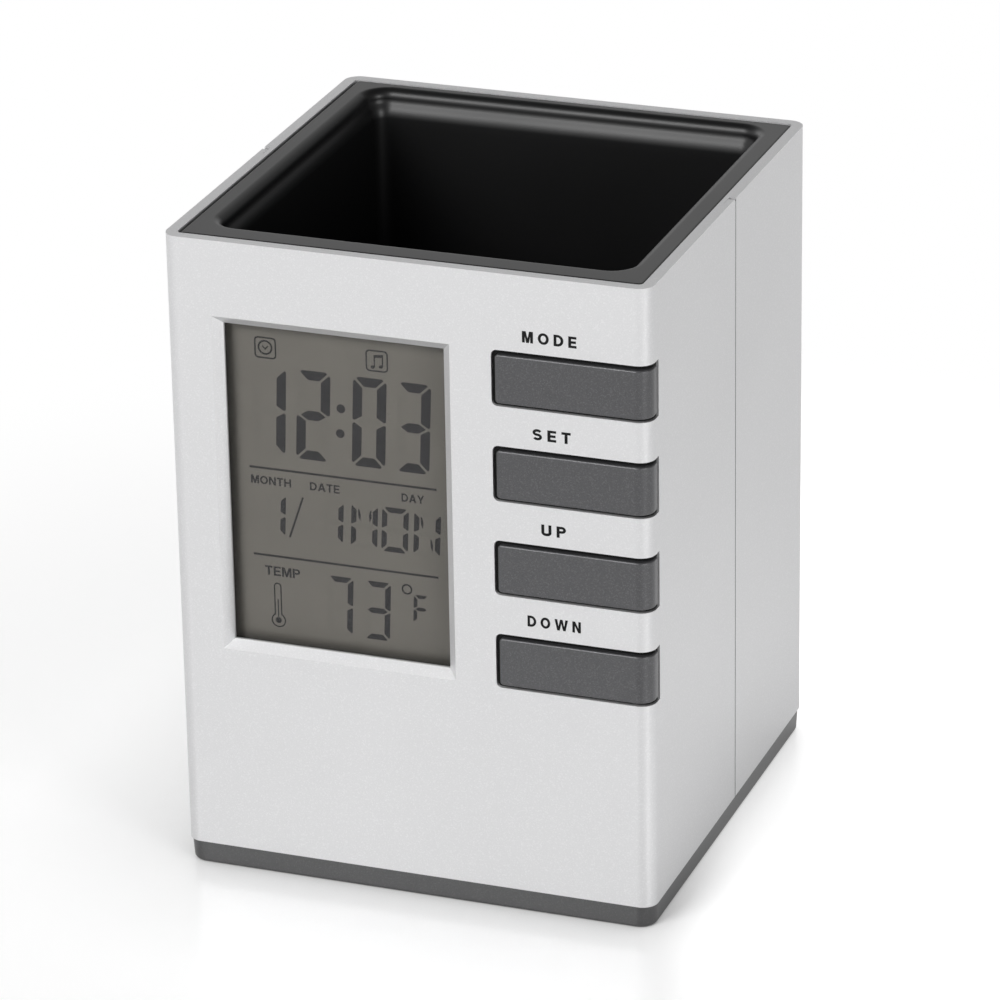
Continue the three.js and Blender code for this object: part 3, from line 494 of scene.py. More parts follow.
def half_housing(name, side, clock):
    """The front (-1) or rear (1) half of the square tube, with its cup ledges and screw posts."""
    sizes = clock.housing
    front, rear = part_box("front_shell"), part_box("rear_shell")
    half, seam, bottom, top = front[1].x, front[1].y, front[0].z, front[1].z
    outer, wall = (front[0].y, sizes.wall) if side < 0 else (rear[1].y, sizes.rear_wall)
    inner, joint = outer - side * wall, seam + side * sizes.seam / 2
    tube = block(name, (-half, half), (joint, outer), (bottom, top))
    round_edges(tube, sizes.corner, 14, "z", y=outer)
    if side < 0:
        round_edges(tube, sizes.seam_corner, 5, y=joint, z=top)
    inside = half - sizes.wall
    hollow = block("hollow", (-inside, inside), (seam - side * REACH, inner), (bottom - REACH, top + REACH))
    round_edges(hollow, sizes.inside_corner, 5, "z", y=inner)
    cut(tube, hollow)
    middle, width = middle_y(), sizes.ledge_width / 2
    reach = abs(inner - middle) - sizes.ledge_reach
    rim_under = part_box("pen_cup")[1].z - clock.cup.rim
    ledge = (rim_under - sizes.ledge_height, rim_under)
    screw_x, screw_y, _ = centre_of("base_screw_front_right")
    screw_y = middle - screw_y
    pilot, pilot_depth = 1.5 * MM, 7.7 * MM
    rooted_y = inner + side * sizes.wall / 2
    for hand in SIDES:
        rooted_x = hand * (inside + sizes.wall / 2)
        x, y = hand * sizes.ledge_spread, middle + side * sizes.ledge_spread
        unite(tube,
              block("ledge", (x - width, x + width), (middle + side * reach, rooted_y), ledge),
              block("ledge", (hand * (inside - sizes.ledge_reach), rooted_x), (y - width, y + width), ledge),
              block("post", (hand * (screw_x - sizes.post / 2), rooted_x),
                    (middle + side * (screw_y - sizes.post / 2), rooted_y), (bottom, bottom + sizes.post_height)))
        place = (hand * screw_x, middle + side * screw_y)
        cut(tube, rod("pilot", pilot, (*place, bottom - REACH), (*place, bottom + pilot_depth), 20))
    return tube


class OBJECT_OT_pen_clock_front_shell(bpy.types.Operator):
    """Front shell: hollow half with a bevelled window, four key slots and the bosses of the board"""
    bl_idname = "object.pen_clock_front_shell"
    bl_label = "Front Shell"

    def execute(self, context):
        clock = context.scene.pen_clock
        sizes = clock.housing
        low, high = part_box("front_shell")
        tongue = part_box("rear_shell")[0].y - sizes.lap_gap
        lap = high.x - sizes.wall + sizes.lap + sizes.lap_gap
        shell = half_housing("front_shell_body", -1, clock)
        cut(shell, block("rebate", (-lap, lap), (tongue, high.y + REACH), (low.z - REACH, high.z + REACH)))
        board_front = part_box("circuit_board")[0].y
        pilot, pilot_start = 1.2 * MM, 0.4 * MM
        for screw in nodes_of("board_screw", range(1, 5)):
            x, _, z = centre_of(screw)
            boss = rod("boss", sizes.boss, (x, low.y + sizes.wall / 2, z), (x, board_front, z))
            hole = rod("hole", pilot, (x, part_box(screw)[0].y - pilot_start, z), (x, board_front + REACH, z), 20)
            unite(shell, cut(boss, hole))
        cut(shell, self.window(sizes, low.y), *self.slots(sizes, high.x))
        finish(shell, "silver_flake_paint", ["front_shell"], edge=sizes.edge)
        return {"FINISHED"}

    def window(self, sizes, front):
        """The cutter of the window: the sight opening, widened towards the front by the bezel."""
        lens_overlap = 2.5 * MM
        low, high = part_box("window_lens")
        left, right = low.x + lens_overlap, high.x - lens_overlap
        bottom, top = low.z + lens_overlap, high.z - lens_overlap
        face = front + sizes.bezel
        cutter = block("window", (left, right), (face, low.y + REACH), (bottom, top))
        wider, taller = [(size + 2 * sizes.bezel) / size for size in (right - left, top - bottom)]
        shape(cutter, "FACE", at(y=face), carry((0, -sizes.bezel, 0)),
              resize((wider, 1, taller), ((left + right) / 2, front, (bottom + top) / 2)))
        return shape(cutter, "FACE", at(y=front), carry((0, -REACH, 0)))

    def slots(self, sizes, side):
        """The cutters of the four slots: one is modelled and copied down the front."""
        low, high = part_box("key_mode")
        left = low.x + KEY_OVERLAP
        slot = block("slot", (left, side + REACH), (-2 * side, SLOT_END), (low.z + KEY_OVERLAP, high.z - KEY_OVERLAP))
        round_edges(slot, sizes.slot_corner, 6, "y", x=left)
        return row(slot, nodes_of("key", KEYS))


class OBJECT_OT_pen_clock_rear_shell(bpy.types.Operator):
    """Rear shell: hollow half whose tongues slide inside the front one, and black strips in the seam as painted shade
    """
    bl_idname = "object.pen_clock_rear_shell"
    bl_label = "Rear Shell"

    def execute(self, context):
        clock = context.scene.pen_clock
        sizes = clock.housing
        low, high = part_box("rear_shell")
        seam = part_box("front_shell")[1].y
        inside = high.x - sizes.wall
        shell = half_housing("rear_shell_body", 1, clock)
        unite(shell, *(block("tongue", (hand * inside, hand * (inside + sizes.lap)), (low.y, seam + REACH),
                             (low.z, high.z)) for hand in SIDES))
        finish(shell, "silver_flake_paint", ["rear_shell"], edge=sizes.edge)
        # The black strips in the seam groove are painted shade: they stand in for the shadow inside the narrow
        # groove.
        half, outer = sizes.seam / 2 - sizes.strip_play, high.x - sizes.strip_sunk
        inner = inside + sizes.lap + sizes.strip_play
        strip = block("seam_shade_strip_right", (inner, outer), (seam - half, seam + half),
                      (low.z + sizes.seam, high.z - sizes.seam))
        round_edges(strip, sizes.strip_play, 2, "y", x=outer)
        # The left strip lies twice as deep below the paint as the right one.
        for piece in (strip, copied(strip, "seam_shade_strip_left", (sizes.strip_sunk - outer - inner, 0, 0))):
            finish(piece, "matt_black_gap_shade")
        return {"FINISHED"}


# Cup

def stepped(name, half, ys, radius, levels):
    """A column drawn downwards: each level is its height, how far it draws in, and a front shift."""
    top, height = levels[:2]
    column = block(name, (-half, half), ys, (height, top))
    round_edges(column, radius, 12, "z")
    middle = sum(ys) / 2
    for level, draw_in, front_shift in levels[2:]:
        step = inset(draw_in, height - level) if draw_in else carry((0, 0, level - height))
        shape(column, "FACE", at(z=height), step)
        height = level
        if front_shift:
            shape(column, "VERT", lambda vert: at(z=level)(vert) and vert.co.y < middle, move((0, front_shift, 0)))
    return column


class OBJECT_OT_pen_clock_cup(bpy.types.Operator):
    """Pen cup: a flanged rim, a rounded lip, a stepped mouth and deep walls that slope over the clockwork"""
    bl_idname = "object.pen_clock_cup"
    bl_label = "Pen Cup"

    def execute(self, context):
        sizes = context.scene.pen_clock.cup
        low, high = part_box("pen_cup")

        def grown(name, by, levels):
            """A column that is larger than the mouth all round."""
            front, rear = low.y + sizes.rim_width, high.y - sizes.rim_width
            return stepped(name, high.x - sizes.rim_width + by,
                           (front + sizes.mouth_shift - by, rear + sizes.mouth_shift + by),
                           sizes.mouth_corner + by, levels)

        lip_steps = 8
        turns = [math.pi / 2 * (1 - i / lip_steps) for i in range(lip_steps + 1)]
        lip = [(high.z - sizes.lip * (1 - math.sin(turn)), sizes.lip * (math.cos(turn) - math.cos(last)), 0)
               for last, turn in zip(turns, turns[1:])]
        upright_end = high.z - sizes.mouth_depth
        step_end = upright_end - sizes.step_height
        slope_start = step_end - sizes.brow
        slope_end = slope_start - sizes.front_slope
        bottom = low.z + sizes.wall
        hollow = grown("hollow", sizes.lip, [
            high.z + REACH, high.z, *lip, (upright_end, 0, 0), (step_end, sizes.step, 0), (slope_start, 0, 0),
            (slope_end, 0, sizes.front_slope), (bottom, 0, 0)])
        for height, radius in ((bottom, sizes.floor_corner), (slope_end, sizes.floor_corner),
                               (slope_start, sizes.floor_corner), (step_end, sizes.step_foot),
                               (upright_end, sizes.step_edge)):
            round_edges(hollow, radius, 4, z=height)
        slant = 0.62 * MM  # keeps the sloped wall as thick as the others
        outside = grown("pen_cup_body", sizes.wall, [
            high.z - sizes.rim / 2, step_end - sizes.wall, (step_end - 2 * sizes.wall, sizes.step, 0),
            (slope_start - slant, 0, 0), (slope_end - slant, 0, sizes.front_slope), (low.z, 0, 0)])
        # The rim as the photograph shows it: drawn in at the left and front, let out at the right and rear.
        drawn_in, let_out, rim_corner = (0.15 * MM, 0.2 * MM), (0.1 * MM, 0.18 * MM), 0.8 * MM
        rim = block("rim", (low.x + drawn_in[0], high.x + let_out[0]), (low.y + drawn_in[1], high.y + let_out[1]),
                    (high.z - sizes.rim, high.z))
        round_edges(rim, rim_corner, 5, "z")
        round_edges(rim, sizes.rim_edge, 4, z=high.z)
        cut(unite(outside, rim), hollow)
        finish(outside, "satin_black_abs", ["pen_cup"], edge=0.15 * MM, angle=24)
        return {"FINISHED"}


# Base

def base_box(sizes):
    """The lower and upper corner of the base, with its walls round the batteries."""
    low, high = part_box("base_plate")
    out = Vector((sizes.flare, sizes.flare, 0))
    return low - out - Vector((0, 0, sizes.drop)), high + out


def base_form(name, sizes):
    """The outside of the base: rounded corners, drafted sides and a rounded lower edge."""
    low, high = base_box(sizes)
    form = block(name, (low.x, high.x), (low.y, high.y), (low.z, low.z + sizes.slab))
    round_edges(form, sizes.corner, 14, "z")
    scale = 1 - sizes.draft / high.x
    shape(form, "FACE", at(z=low.z), resize((scale, scale, 1), (0, middle_y(), low.z)))
    return round_edges(form, sizes.edge, 5, z=low.z)


class OBJECT_OT_pen_clock_base(bpy.types.Operator):
    """Base: drafted plate with the battery bay, pockets, recesses and sunk screw holes"""
    bl_idname = "object.pen_clock_base"
    bl_label = "Base Plate"

    def execute(self, context):
        clock = context.scene.pen_clock
        low, high = base_box(clock.base)
        top, under, above = low.z + clock.base.slab, low.z - REACH, low.z + clock.base.slab + REACH
        plate = base_form("base_plate_body", clock.base)
        door_low, door_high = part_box("battery_door")
        cell_low, cell_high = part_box("cell_left")
        gap, wall, rib, deeper = 0.3 * MM, 1.2 * MM, 2.2 * MM, 0.25 * MM
        pocket_depth, tab_sunk, guide = 1.5 * MM, 0.4 * MM, 1.5 * MM
        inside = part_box("front_shell")[1].x - clock.housing.wall
        pocket = (top - pocket_depth, above)
        post = centre_of("base_screw_front_right")[0] - clock.housing.post / 2 - rib
        middle = middle_y()
        for hand in SIDES:
            cut(plate, block("pocket", (hand * (door_high.x + gap + rib), hand * (inside - rib)),
                             (middle - post - deeper, middle + post + deeper), pocket))
        cut(plate, block("pocket", (-post, post), (middle + rib - inside - deeper, door_low.y - gap - rib), pocket))
        bay, rear = gap - cell_low.x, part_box("contact_bridge")[1].y
        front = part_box("contact_positive")[1].y - tab_sunk
        unite(plate, block("bay", (-bay - wall, bay + wall), (front - wall, rear + wall), (pocket[0], high.z)))
        panel = bay + guide + gap
        channel = (door_low.y - gap, high.y + REACH)
        cut(plate,
            block("cells", (-bay, bay), (front, rear), (low.z, cell_high.z + gap)),
            block("channel", (-panel, panel), channel, (under, door_high.z + gap)),
            block("groove", (door_low.x - gap, door_high.x + gap), channel, (door_high.z - wall, door_high.z + gap)))
        tab_half, tab_rise = 1.5 * MM, 0.5 * MM
        for tab in nodes_of("contact", ("positive", "negative")):
            x, _, z = centre_of(tab)
            cut(plate, block("tab_hole", (x - tab_half, x + tab_half), (front - wall - REACH, front + gap),
                             (z - tab_rise, z + tab_rise)))
        hole, seat, seat_depth = 1.5 * MM, 2.6 * MM, 1.7 * MM
        for corner in CORNERS:
            x, y, _ = centre_of(f"base_screw_{corner}")
            foot, foot_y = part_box(f"foot_{corner}"), centre_of(f"foot_{corner}")[1]
            cut(plate,
                rod("hole", hole, (x, y, under), (x, y, above), 24),
                rod("seat", seat, (x, y, under), (x, y, low.z + seat_depth)),
                rod("recess", (foot[1].x - foot[0].x) / 2 + gap, (x, foot_y, under), (x, foot_y, foot[1].z), 40))
        finish(plate, "grey_flake_abs", ["base_plate"], edge=0.15 * MM)
        return {"FINISHED"}


class OBJECT_OT_pen_clock_door(bpy.types.Operator):
    """Battery door: a panel on two tongues with three grip grooves, closed flush with the base's rear edge"""
    bl_idname = "object.pen_clock_door"
    bl_label = "Battery Door"

    def execute(self, context):
        sizes = context.scene.pen_clock.base
        low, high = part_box("battery_door")
        low -= Vector((0, 0, sizes.drop))
        tongue, tongue_height = 1.2 * MM, 0.9 * MM
        ys = (low.y, high.y + REACH)
        door = block("battery_door_panel", (low.x + tongue, high.x - tongue), ys, (low.z, high.z))
        unite(door, block("tongues", (low.x, high.x), ys, (high.z - tongue_height, high.z)))
        combined(door, [base_form("form", sizes)], "INTERSECT")
        half, radius, sunk, end_rounding, from_rear = 6.3 * MM, 0.75 * MM, 0.3 * MM, 0.4 * MM, 5.65 * MM
        for number in range(3):
            y, z = high.y - from_rear - number * 2 * sizes.groove - sizes.groove / 2, low.z - sunk
            groove = rod("groove", radius, (-half, y, z), (half, y, z), 20)
            shape(groove, "EDGE", lambda edge: at(x=edge.verts[0].co.x)(edge), rounding(end_rounding, 3))
            cut(door, groove)
        finish(door, "grey_flake_abs", ["battery_door"], "battery_door", 0.12 * MM)
        return {"FINISHED"}


class OBJECT_OT_pen_clock_feet(bpy.types.Operator):
    """Feet and base screws: one of each is modelled and copied to the four corners"""
    bl_idname = "object.pen_clock_feet"
    bl_label = "Feet and Base Screws"

    def execute(self, context):
        for model, kind, finish_name, slot in ((self.foot, "foot", "moulded_black_rubber", "foot_rubber"),
                                               (self.screw, "base_screw", "nickel_plated_steel", "plated_steel")):
            nodes = nodes_of(kind, CORNERS)
            for piece, node in zip(row(model(nodes[0]), nodes), nodes):
                settle(piece, f"{node}_body")
                finish(piece, finish_name, [node])
        return {"FINISHED"}

    def foot(self, node):
        """A round pad with a rounded tread and a shallow dish under it."""
        low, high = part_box(node)
        x, y, _ = centre_of(node)
        radius = (high.x - low.x) / 2
        tread, dish, sunk, edge_rounding = 0.9 * MM, 0.3 * MM, 0.12 * MM, 0.2 * MM
        pad = rod("foot", radius, (x, y, low.z), (x, y, high.z), 48)
        shape(pad, "FACE", at(z=low.z), inset(tread), inset(dish, -sunk))
        outer = lambda vert: math.hypot(vert.co.x - x, vert.co.y - y) > 0.99 * radius
        return shape(pad, "EDGE", lambda edge: at(z=low.z)(edge) and all(map(outer, edge.verts)),
                     rounding(edge_rounding, 3))

    def screw(self, node):
        """A pan-headed screw with a cross recess and a pointed shank."""
        low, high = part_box(node)
        x, y, _ = centre_of(node)
        radius, head, shank, dome = (high.x - low.x) / 2, 1.3 * MM, 1.2 * MM, 0.55 * MM
        point, taper = 0.1, 0.7  # how narrow the shank and the recess become towards their ends
        seat, end = low.z + head, high.z - shank
        screw = rod("screw", radius, (x, y, low.z), (x, y, seat), 36)
        round_edges(screw, dome, 5, z=low.z)
        shape(screw, "FACE", at(z=seat), inset(radius - shank), carry((0, 0, end - seat)))
        shape(screw, "FACE", at(z=end), carry((0, 0, shank)), resize((point, point, 1), (x, y, high.z)))
        long, thin, deep = 1.35 * MM, 0.3 * MM, low.z + 0.6 * MM
        for half_x, half_y in ((long, thin), (thin, long)):
            arm = block("arm", (x - half_x, x + half_x), (y - half_y, y + half_y), (low.z - REACH, deep))
            shape(arm, "FACE", at(z=deep), resize((taper, taper, 1), (x, y, low.z)))
            cut(screw, arm)
        return screw


# Keys

class OBJECT_OT_pen_clock_keys(bpy.types.Operator):
    """Keys: one hollow cap that wraps round the corner is modelled and copied for the four keys"""
    bl_idname = "object.pen_clock_keys"
    bl_label = "Keys"

    def execute(self, context):
        nodes = nodes_of("key", KEYS)
        cap, collar = self.first_key(context.scene.pen_clock.key)
        for first, part, finish_name in ((cap, "cap", "grey_flake_key_paint"), (collar, "collar", "matt_black_gap_shade")):
            for piece, node in zip(row(first, nodes), nodes):
                settle(piece, f"{node}_{part}")
                finish(piece, finish_name, [node] if part == "cap" else (), node)
        return {"FINISHED"}

    def first_key(self, sizes):
        """The first key: a painted hollow cap on its post, and the black collar and flange round it; the collar's
        black in the gap is partly painted shade.
        """
        low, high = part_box("key_mode")
        gap, play = 0.6 * MM, 0.15 * MM  # round the cap and round the collar, inside the slot
        left_extra, end_gap, flange_inset, flange_front = 0.1 * MM, 0.9 * MM, 2.4 * MM, -36.925 * MM
        left, inner = low.x + KEY_OVERLAP + gap + left_extra, high.x - flange_inset
        bottom, top, end = low.z + KEY_OVERLAP + gap, high.z - KEY_OVERLAP - gap, SLOT_END - end_gap
        cap = block("key", (left, high.x), (low.y, end), (bottom, top))
        round_edges(cap, sizes.corner, 16, "z", x=high.x, y=low.y)
        round_edges(cap, sizes.left_corner, 5, "y", x=left)
        shape(cap, "EDGE", lambda edge: self.outline(edge, end), rounding(sizes.edge, 4))
        # The black collar sits just behind the front in the gap round the cap: partly a real black key body, partly
        # painted shade that keeps the gap dark as its shadow would.
        inwards, front, right = KEY_OVERLAP + play, low.y + gap + 2 * play, high.x - play
        collar = block("collar", (low.x + inwards, right), (front, end + 1.5 * play),
                       (low.z + inwards, high.z - inwards))
        round_edges(collar, sizes.corner, 16, "z", x=right, y=front)
        round_edges(collar, sizes.left_corner, 5, "y", x=low.x + inwards)
        flange = block("flange", (low.x, inner), (flange_front, flange_front + sizes.flange), (low.z, high.z))
        round_edges(flange, sizes.left_corner, 4, "y", x=low.x)
        skin = sizes.skin
        hollow = (left + skin, inner - skin), (bottom + skin, top - skin)
        cut(unite(collar, flange), copied(cap, "recess"), block("hollow", hollow[0], (low.y, high.y), hollow[1]))
        cut(cap, block("hollow", hollow[0], (low.y + skin, end + REACH), hollow[1]))
        x, z = (left + inner) / 2, (bottom + top) / 2
        return unite(cap, rod("post", sizes.post, (x, low.y + skin / 2, z), (x, high.y, z), 24)), collar

    def outline(self, edge, end):
        """Whether an edge belongs to the sharp outline of the cap's outside."""
        faces = edge.link_faces
        return faces[0].normal.angle(faces[1].normal) > 1 and not at(y=end)(edge)


# Drawing: outlines on a sheet, to the right and down

def bow(x, y, across, down, start, end, steps=14):
    """Points on an oval from one angle to another, in degrees, down being 90."""
    turns = [math.radians(start + (end - start) * i / steps) for i in range(steps + 1)]
    return [(x + across * math.cos(turn), y + down * math.sin(turn)) for turn in turns]


def disc(x, y, radius):
    """A round outline."""
    return bow(x, y, radius, radius, 0, 351, 39)


def rounded(left, top, right, bottom, radius):
    """A rounded square outline."""
    return [point for x, y, start in ((right - radius, top + radius, -90), (right - radius, bottom - radius, 0),
                                      (left + radius, bottom - radius, 90), (left + radius, top + radius, 180))
            for point in bow(x, y, radius, radius, start, start + 90, 6)]


def ribbon(path, width):
    """A stroke of one width along a path."""
    sides = [], []
    for before, point, after in zip(path[:1] + path, path, path[1:] + path[-1:]):
        way = Vector(after) - Vector(before)
        across = Vector((-way.y, way.x)).normalized() * width / 2
        sides[0].append(tuple(Vector(point) + across))
        sides[1].append(tuple(Vector(point) - across))
    return sides[0] + sides[1][::-1]


def even(width, half):
    """An outline that is the same on both sides, from its left half."""
    return half + [(width - x, y) for x, y in reversed(half)]


def drawn(name, outlines, scale, place, depth, finish_name):
    """Fills closed outlines from a place, as a thin piece facing the front; one inside another is a hole."""
    curve = bpy.data.curves.new(name, "CURVE")
    curve.dimensions = "2D"
    curve.fill_mode = "BOTH"
    curve.extrude = depth / scale / 2
    for outline in outlines:
        spline = curve.splines.new("POLY")
        spline.points.add(len(outline) - 1)
        for point, (x, y) in zip(spline.points, outline):
            point.co = (x, -y, 0, 1)
        spline.use_cyclic_u = True
    piece = bpy.data.objects.new(name, curve)
    bpy.context.scene.collection.objects.link(piece)
    only(piece)
    bpy.ops.object.convert(target="MESH")
    piece = bpy.context.active_object
    piece.scale = (scale, scale, scale)
    piece.rotation_euler = (math.pi / 2, 0, 0)
    piece.location = Vector(place) - Vector((0, depth / 2, 0))
    settle(piece, name)
    shape(piece, "VERT", lambda vert: True,
          (bpy.ops.mesh.remove_doubles, {"threshold": 0.001 * MM}),
          (bpy.ops.mesh.normals_make_consistent, {"inside": False}))
    only(piece)
    bpy.ops.object.shade_flat()
    painted(piece, finish_name)
    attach(piece, "housing")


def alphabet(stem):
    """The bold letters that the words need, one unit tall: each has its width and its outlines."""
    bar = 0.9 * stem
    upper, lower = 0.5 - bar / 2, 0.5 + bar / 2
    slope = 0.46 - 0.6 * stem
    leg = lambda y: 1.15 * stem + (1 - y) * slope
    bowl = (0.5 - stem / 2) / 2
    return {
        "A": (0.92, [even(0.92, [(slope, 0), (0, 1), (1.15 * stem, 1), (leg(0.79), 0.79)]),
                     [(0.46, 1 - (0.46 - 1.15 * stem) / slope), (0.92 - leg(0.61), 0.61), (leg(0.61), 0.61)]]),
        "D": (0.84, [[(0, 0)] + bow(0.34, 0.5, 0.5, 0.5, -90, 90) + [(0, 1)],
                     [(stem, bar)] + bow(0.34, 0.5, 0.5 - stem, 0.5 - bar, -90, 90) + [(stem, 1 - bar)]]),
        "E": (0.7, [[(0, 0), (0.7, 0), (0.7, bar), (stem, bar), (stem, upper), (0.65, upper), (0.65, lower),
                     (stem, lower), (stem, 1 - bar), (0.7, 1 - bar), (0.7, 1), (0, 1)]]),
        "H": (0.82, [even(0.82, [(stem, upper), (stem, 0), (0, 0), (0, 1), (stem, 1), (stem, lower)])]),
        "M": (0.95, [[(0.475, 0.62)] + even(0.95, [(1.35 * stem, 0), (0, 0), (0, 1), (stem, 1), (stem, 0.42),
                                                   (0.475 - 0.5 * stem, 1)])]),
        "N": (0.82, [[(0, 0), (1.1 * stem, 0), (0.82 - stem, 1 - 1.62 * stem), (0.82 - stem, 0), (0.82, 0),
                      (0.82, 1), (0.82 - 1.1 * stem, 1), (stem, 1.62 * stem), (stem, 1), (0, 1)]]),
        "O": (0.94, [bow(0.47, 0.5, 0.47 - inwards[0], 0.5 - inwards[1], 0, 350, 35)
                     for inwards in ((0, 0), (stem, bar))]),
        "P": (0.76, [[(0, 0)] + bow(0.44, 0.3, 0.32, 0.3, -90, 90) + [(stem, 0.6), (stem, 1), (0, 1)],
                     [(stem, bar)] + bow(0.44, 0.3, 0.32 - stem, 0.3 - bar, -90, 90) + [(stem, 0.6 - bar)]]),
        "S": (0.78, [ribbon(bow(0.39, bowl + stem / 2, 0.39 - stem / 2, bowl, -25, -270)
                            + bow(0.39, 1 - bowl - stem / 2, 0.39 - stem / 2, bowl, -90, 155)[1:], bar)]),
        "T": (0.74, [even(0.74, [(0, 0), (0, bar), (0.37 - stem / 2, bar), (0.37 - stem / 2, 1)])]),
        "U": (0.82, [ribbon([(stem / 2, 0)] + bow(0.41, 0.59 + stem / 2, 0.41 - stem / 2, 0.41 - stem, 180, 0)
                            + [(0.82 - stem / 2, 0)], stem)]),
        "W": (1.3, [even(1.3, [(0.65 - stem / 2, 0), (0.375, 0.64), (1.1 * stem, 0), (0, 0),
                               (0.365 - stem / 2, 1), (0.365 + stem / 2, 1), (0.65 - 0.001, 0.36)])]),
        "Y": (0.86, [[(0.43, 0.4)] + even(0.86, [(1.15 * stem, 0), (0, 0), (0.43 - stem / 2, 0.6),
                                                 (0.43 - stem / 2, 1)])]),
    }


def word(name, text, box, face, finish_name, gap, stem=0.2):
    """A word printed in bold letters that fills a box of left, right, bottom and top."""
    left, right, bottom, top = box
    letters = [alphabet(stem)[letter] for letter in text]
    natural = sum(width for width, forms in letters) + gap * (len(text) - 1)
    stretch = (right - left) / (top - bottom) / natural
    outlines, start = [], 0
    for width, forms in letters:
        outlines += [[((start + x) * stretch, y) for x, y in form] for form in forms]
        start += width + gap
    drawn(name, outlines, top - bottom, (left, face, top), PRINT, finish_name)


def seven_bars(width, height, bar, gap):
    """The seven bars of a digit, each an outline, by their usual letters a to g."""
    tip, mitre = 0.22 * bar, 0.7 * gap
    half = (height - gap) / 2
    top = [(mitre + 1.5 * tip, 0), (width - mitre - 1.5 * tip, 0), (width - mitre - 0.8 * tip, 0.8 * tip),
           (width - mitre - bar, bar), (mitre + bar, bar), (mitre + 0.8 * tip, 0.8 * tip)]
    side = [(width - 0.8 * tip, mitre + 0.8 * tip), (width, mitre + 1.5 * tip), (width, half - 0.6 * tip),
            (width - 0.9 * tip, half), (width - bar, half - 0.5 * bar), (width - bar, mitre + bar)]
    centre = [(0.45 * bar, height / 2), (1.2 * bar, (height - bar) / 2), (width - 1.2 * bar, (height - bar) / 2),
              (width - 0.45 * bar, height / 2), (width - 1.2 * bar, (height + bar) / 2),
              (1.2 * bar, (height + bar) / 2)]
    left = [(width - x, y) for x, y in side]
    down = lambda outline: [(x, height - y) for x, y in outline]
    return {"a": top, "b": side, "c": down(side), "d": down(top), "e": down(left), "f": left, "g": centre}


def digits(line, lit=True):
    """The lit or unlit bars of a line of digits, each set by its right edge and leaning to the right."""
    width, lean = line["width"], line["lean"]
    made = seven_bars(width, line["height"], line["bar"], line["gap"])
    return [[(right - width + x - y * lean, line["top"] + y) for x, y in made[letter]]
            for right, bars in line["digits"] for letter in "abcdefg" if (letter in bars) == lit]


# Display and printed words; what is on the display is given in dots from its upper left corner

DOT = MM / 28
DISPLAY_LEFT = -30.54 * MM
DISPLAY_TOP = 92.69 * MM
PRINT = 0.02 * MM  # thickness of what is printed or lit
TIME = dict(width=153, height=412, bar=43, gap=11, top=215, lean=0.042,
            digits=((278, "bc"), (481, "abged"), (737, "abcdef"), (938, "abgcd")))
DATE = dict(width=90, height=201, bar=24, gap=12, top=805, lean=0.05, digits=((258, "bc"), (525, "bc")))
DAY = dict(width=122, height=208, bar=24, gap=12, top=801, lean=0.05,
           digits=((683, "bcef"), (824, "abcdef"), (971, "bcef")))
HEAT = dict(width=118, height=275, bar=26, gap=10, top=1158, lean=0.045, digits=((560, "abc"), (733, "abgcd")))
UNIT = dict(width=68, height=134, bar=17, gap=7, top=1195, lean=0.04, digits=((905, "afge"),))


class OBJECT_OT_pen_clock_window(bpy.types.Operator):
    """Window: the clear lens behind the bezel and the thin film on the display"""
    bl_idname = "object.pen_clock_window"
    bl_label = "Window Lens and Film"

    def execute(self, context):
        for node, name, thinner, radius, steps, finish_name, slot, edge in (
                ("window_lens", "pane", 0, 0.8, 5, "clear_moulded_acrylic", "clear_plastic", 0.1),
                ("front_polariser", "film", 0.05, 0.4, 4, "smoked_polarising_film", "polariser", 0)):
            low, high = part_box(node)
            sheet = block(f"{node}_{name}", (low.x, high.x), (low.y, high.y - thinner * MM), (low.z, high.z))
            round_edges(sheet, radius * MM, steps, "y")
            finish(sheet, finish_name, [node], edge=edge * MM)
        return {"FINISHED"}


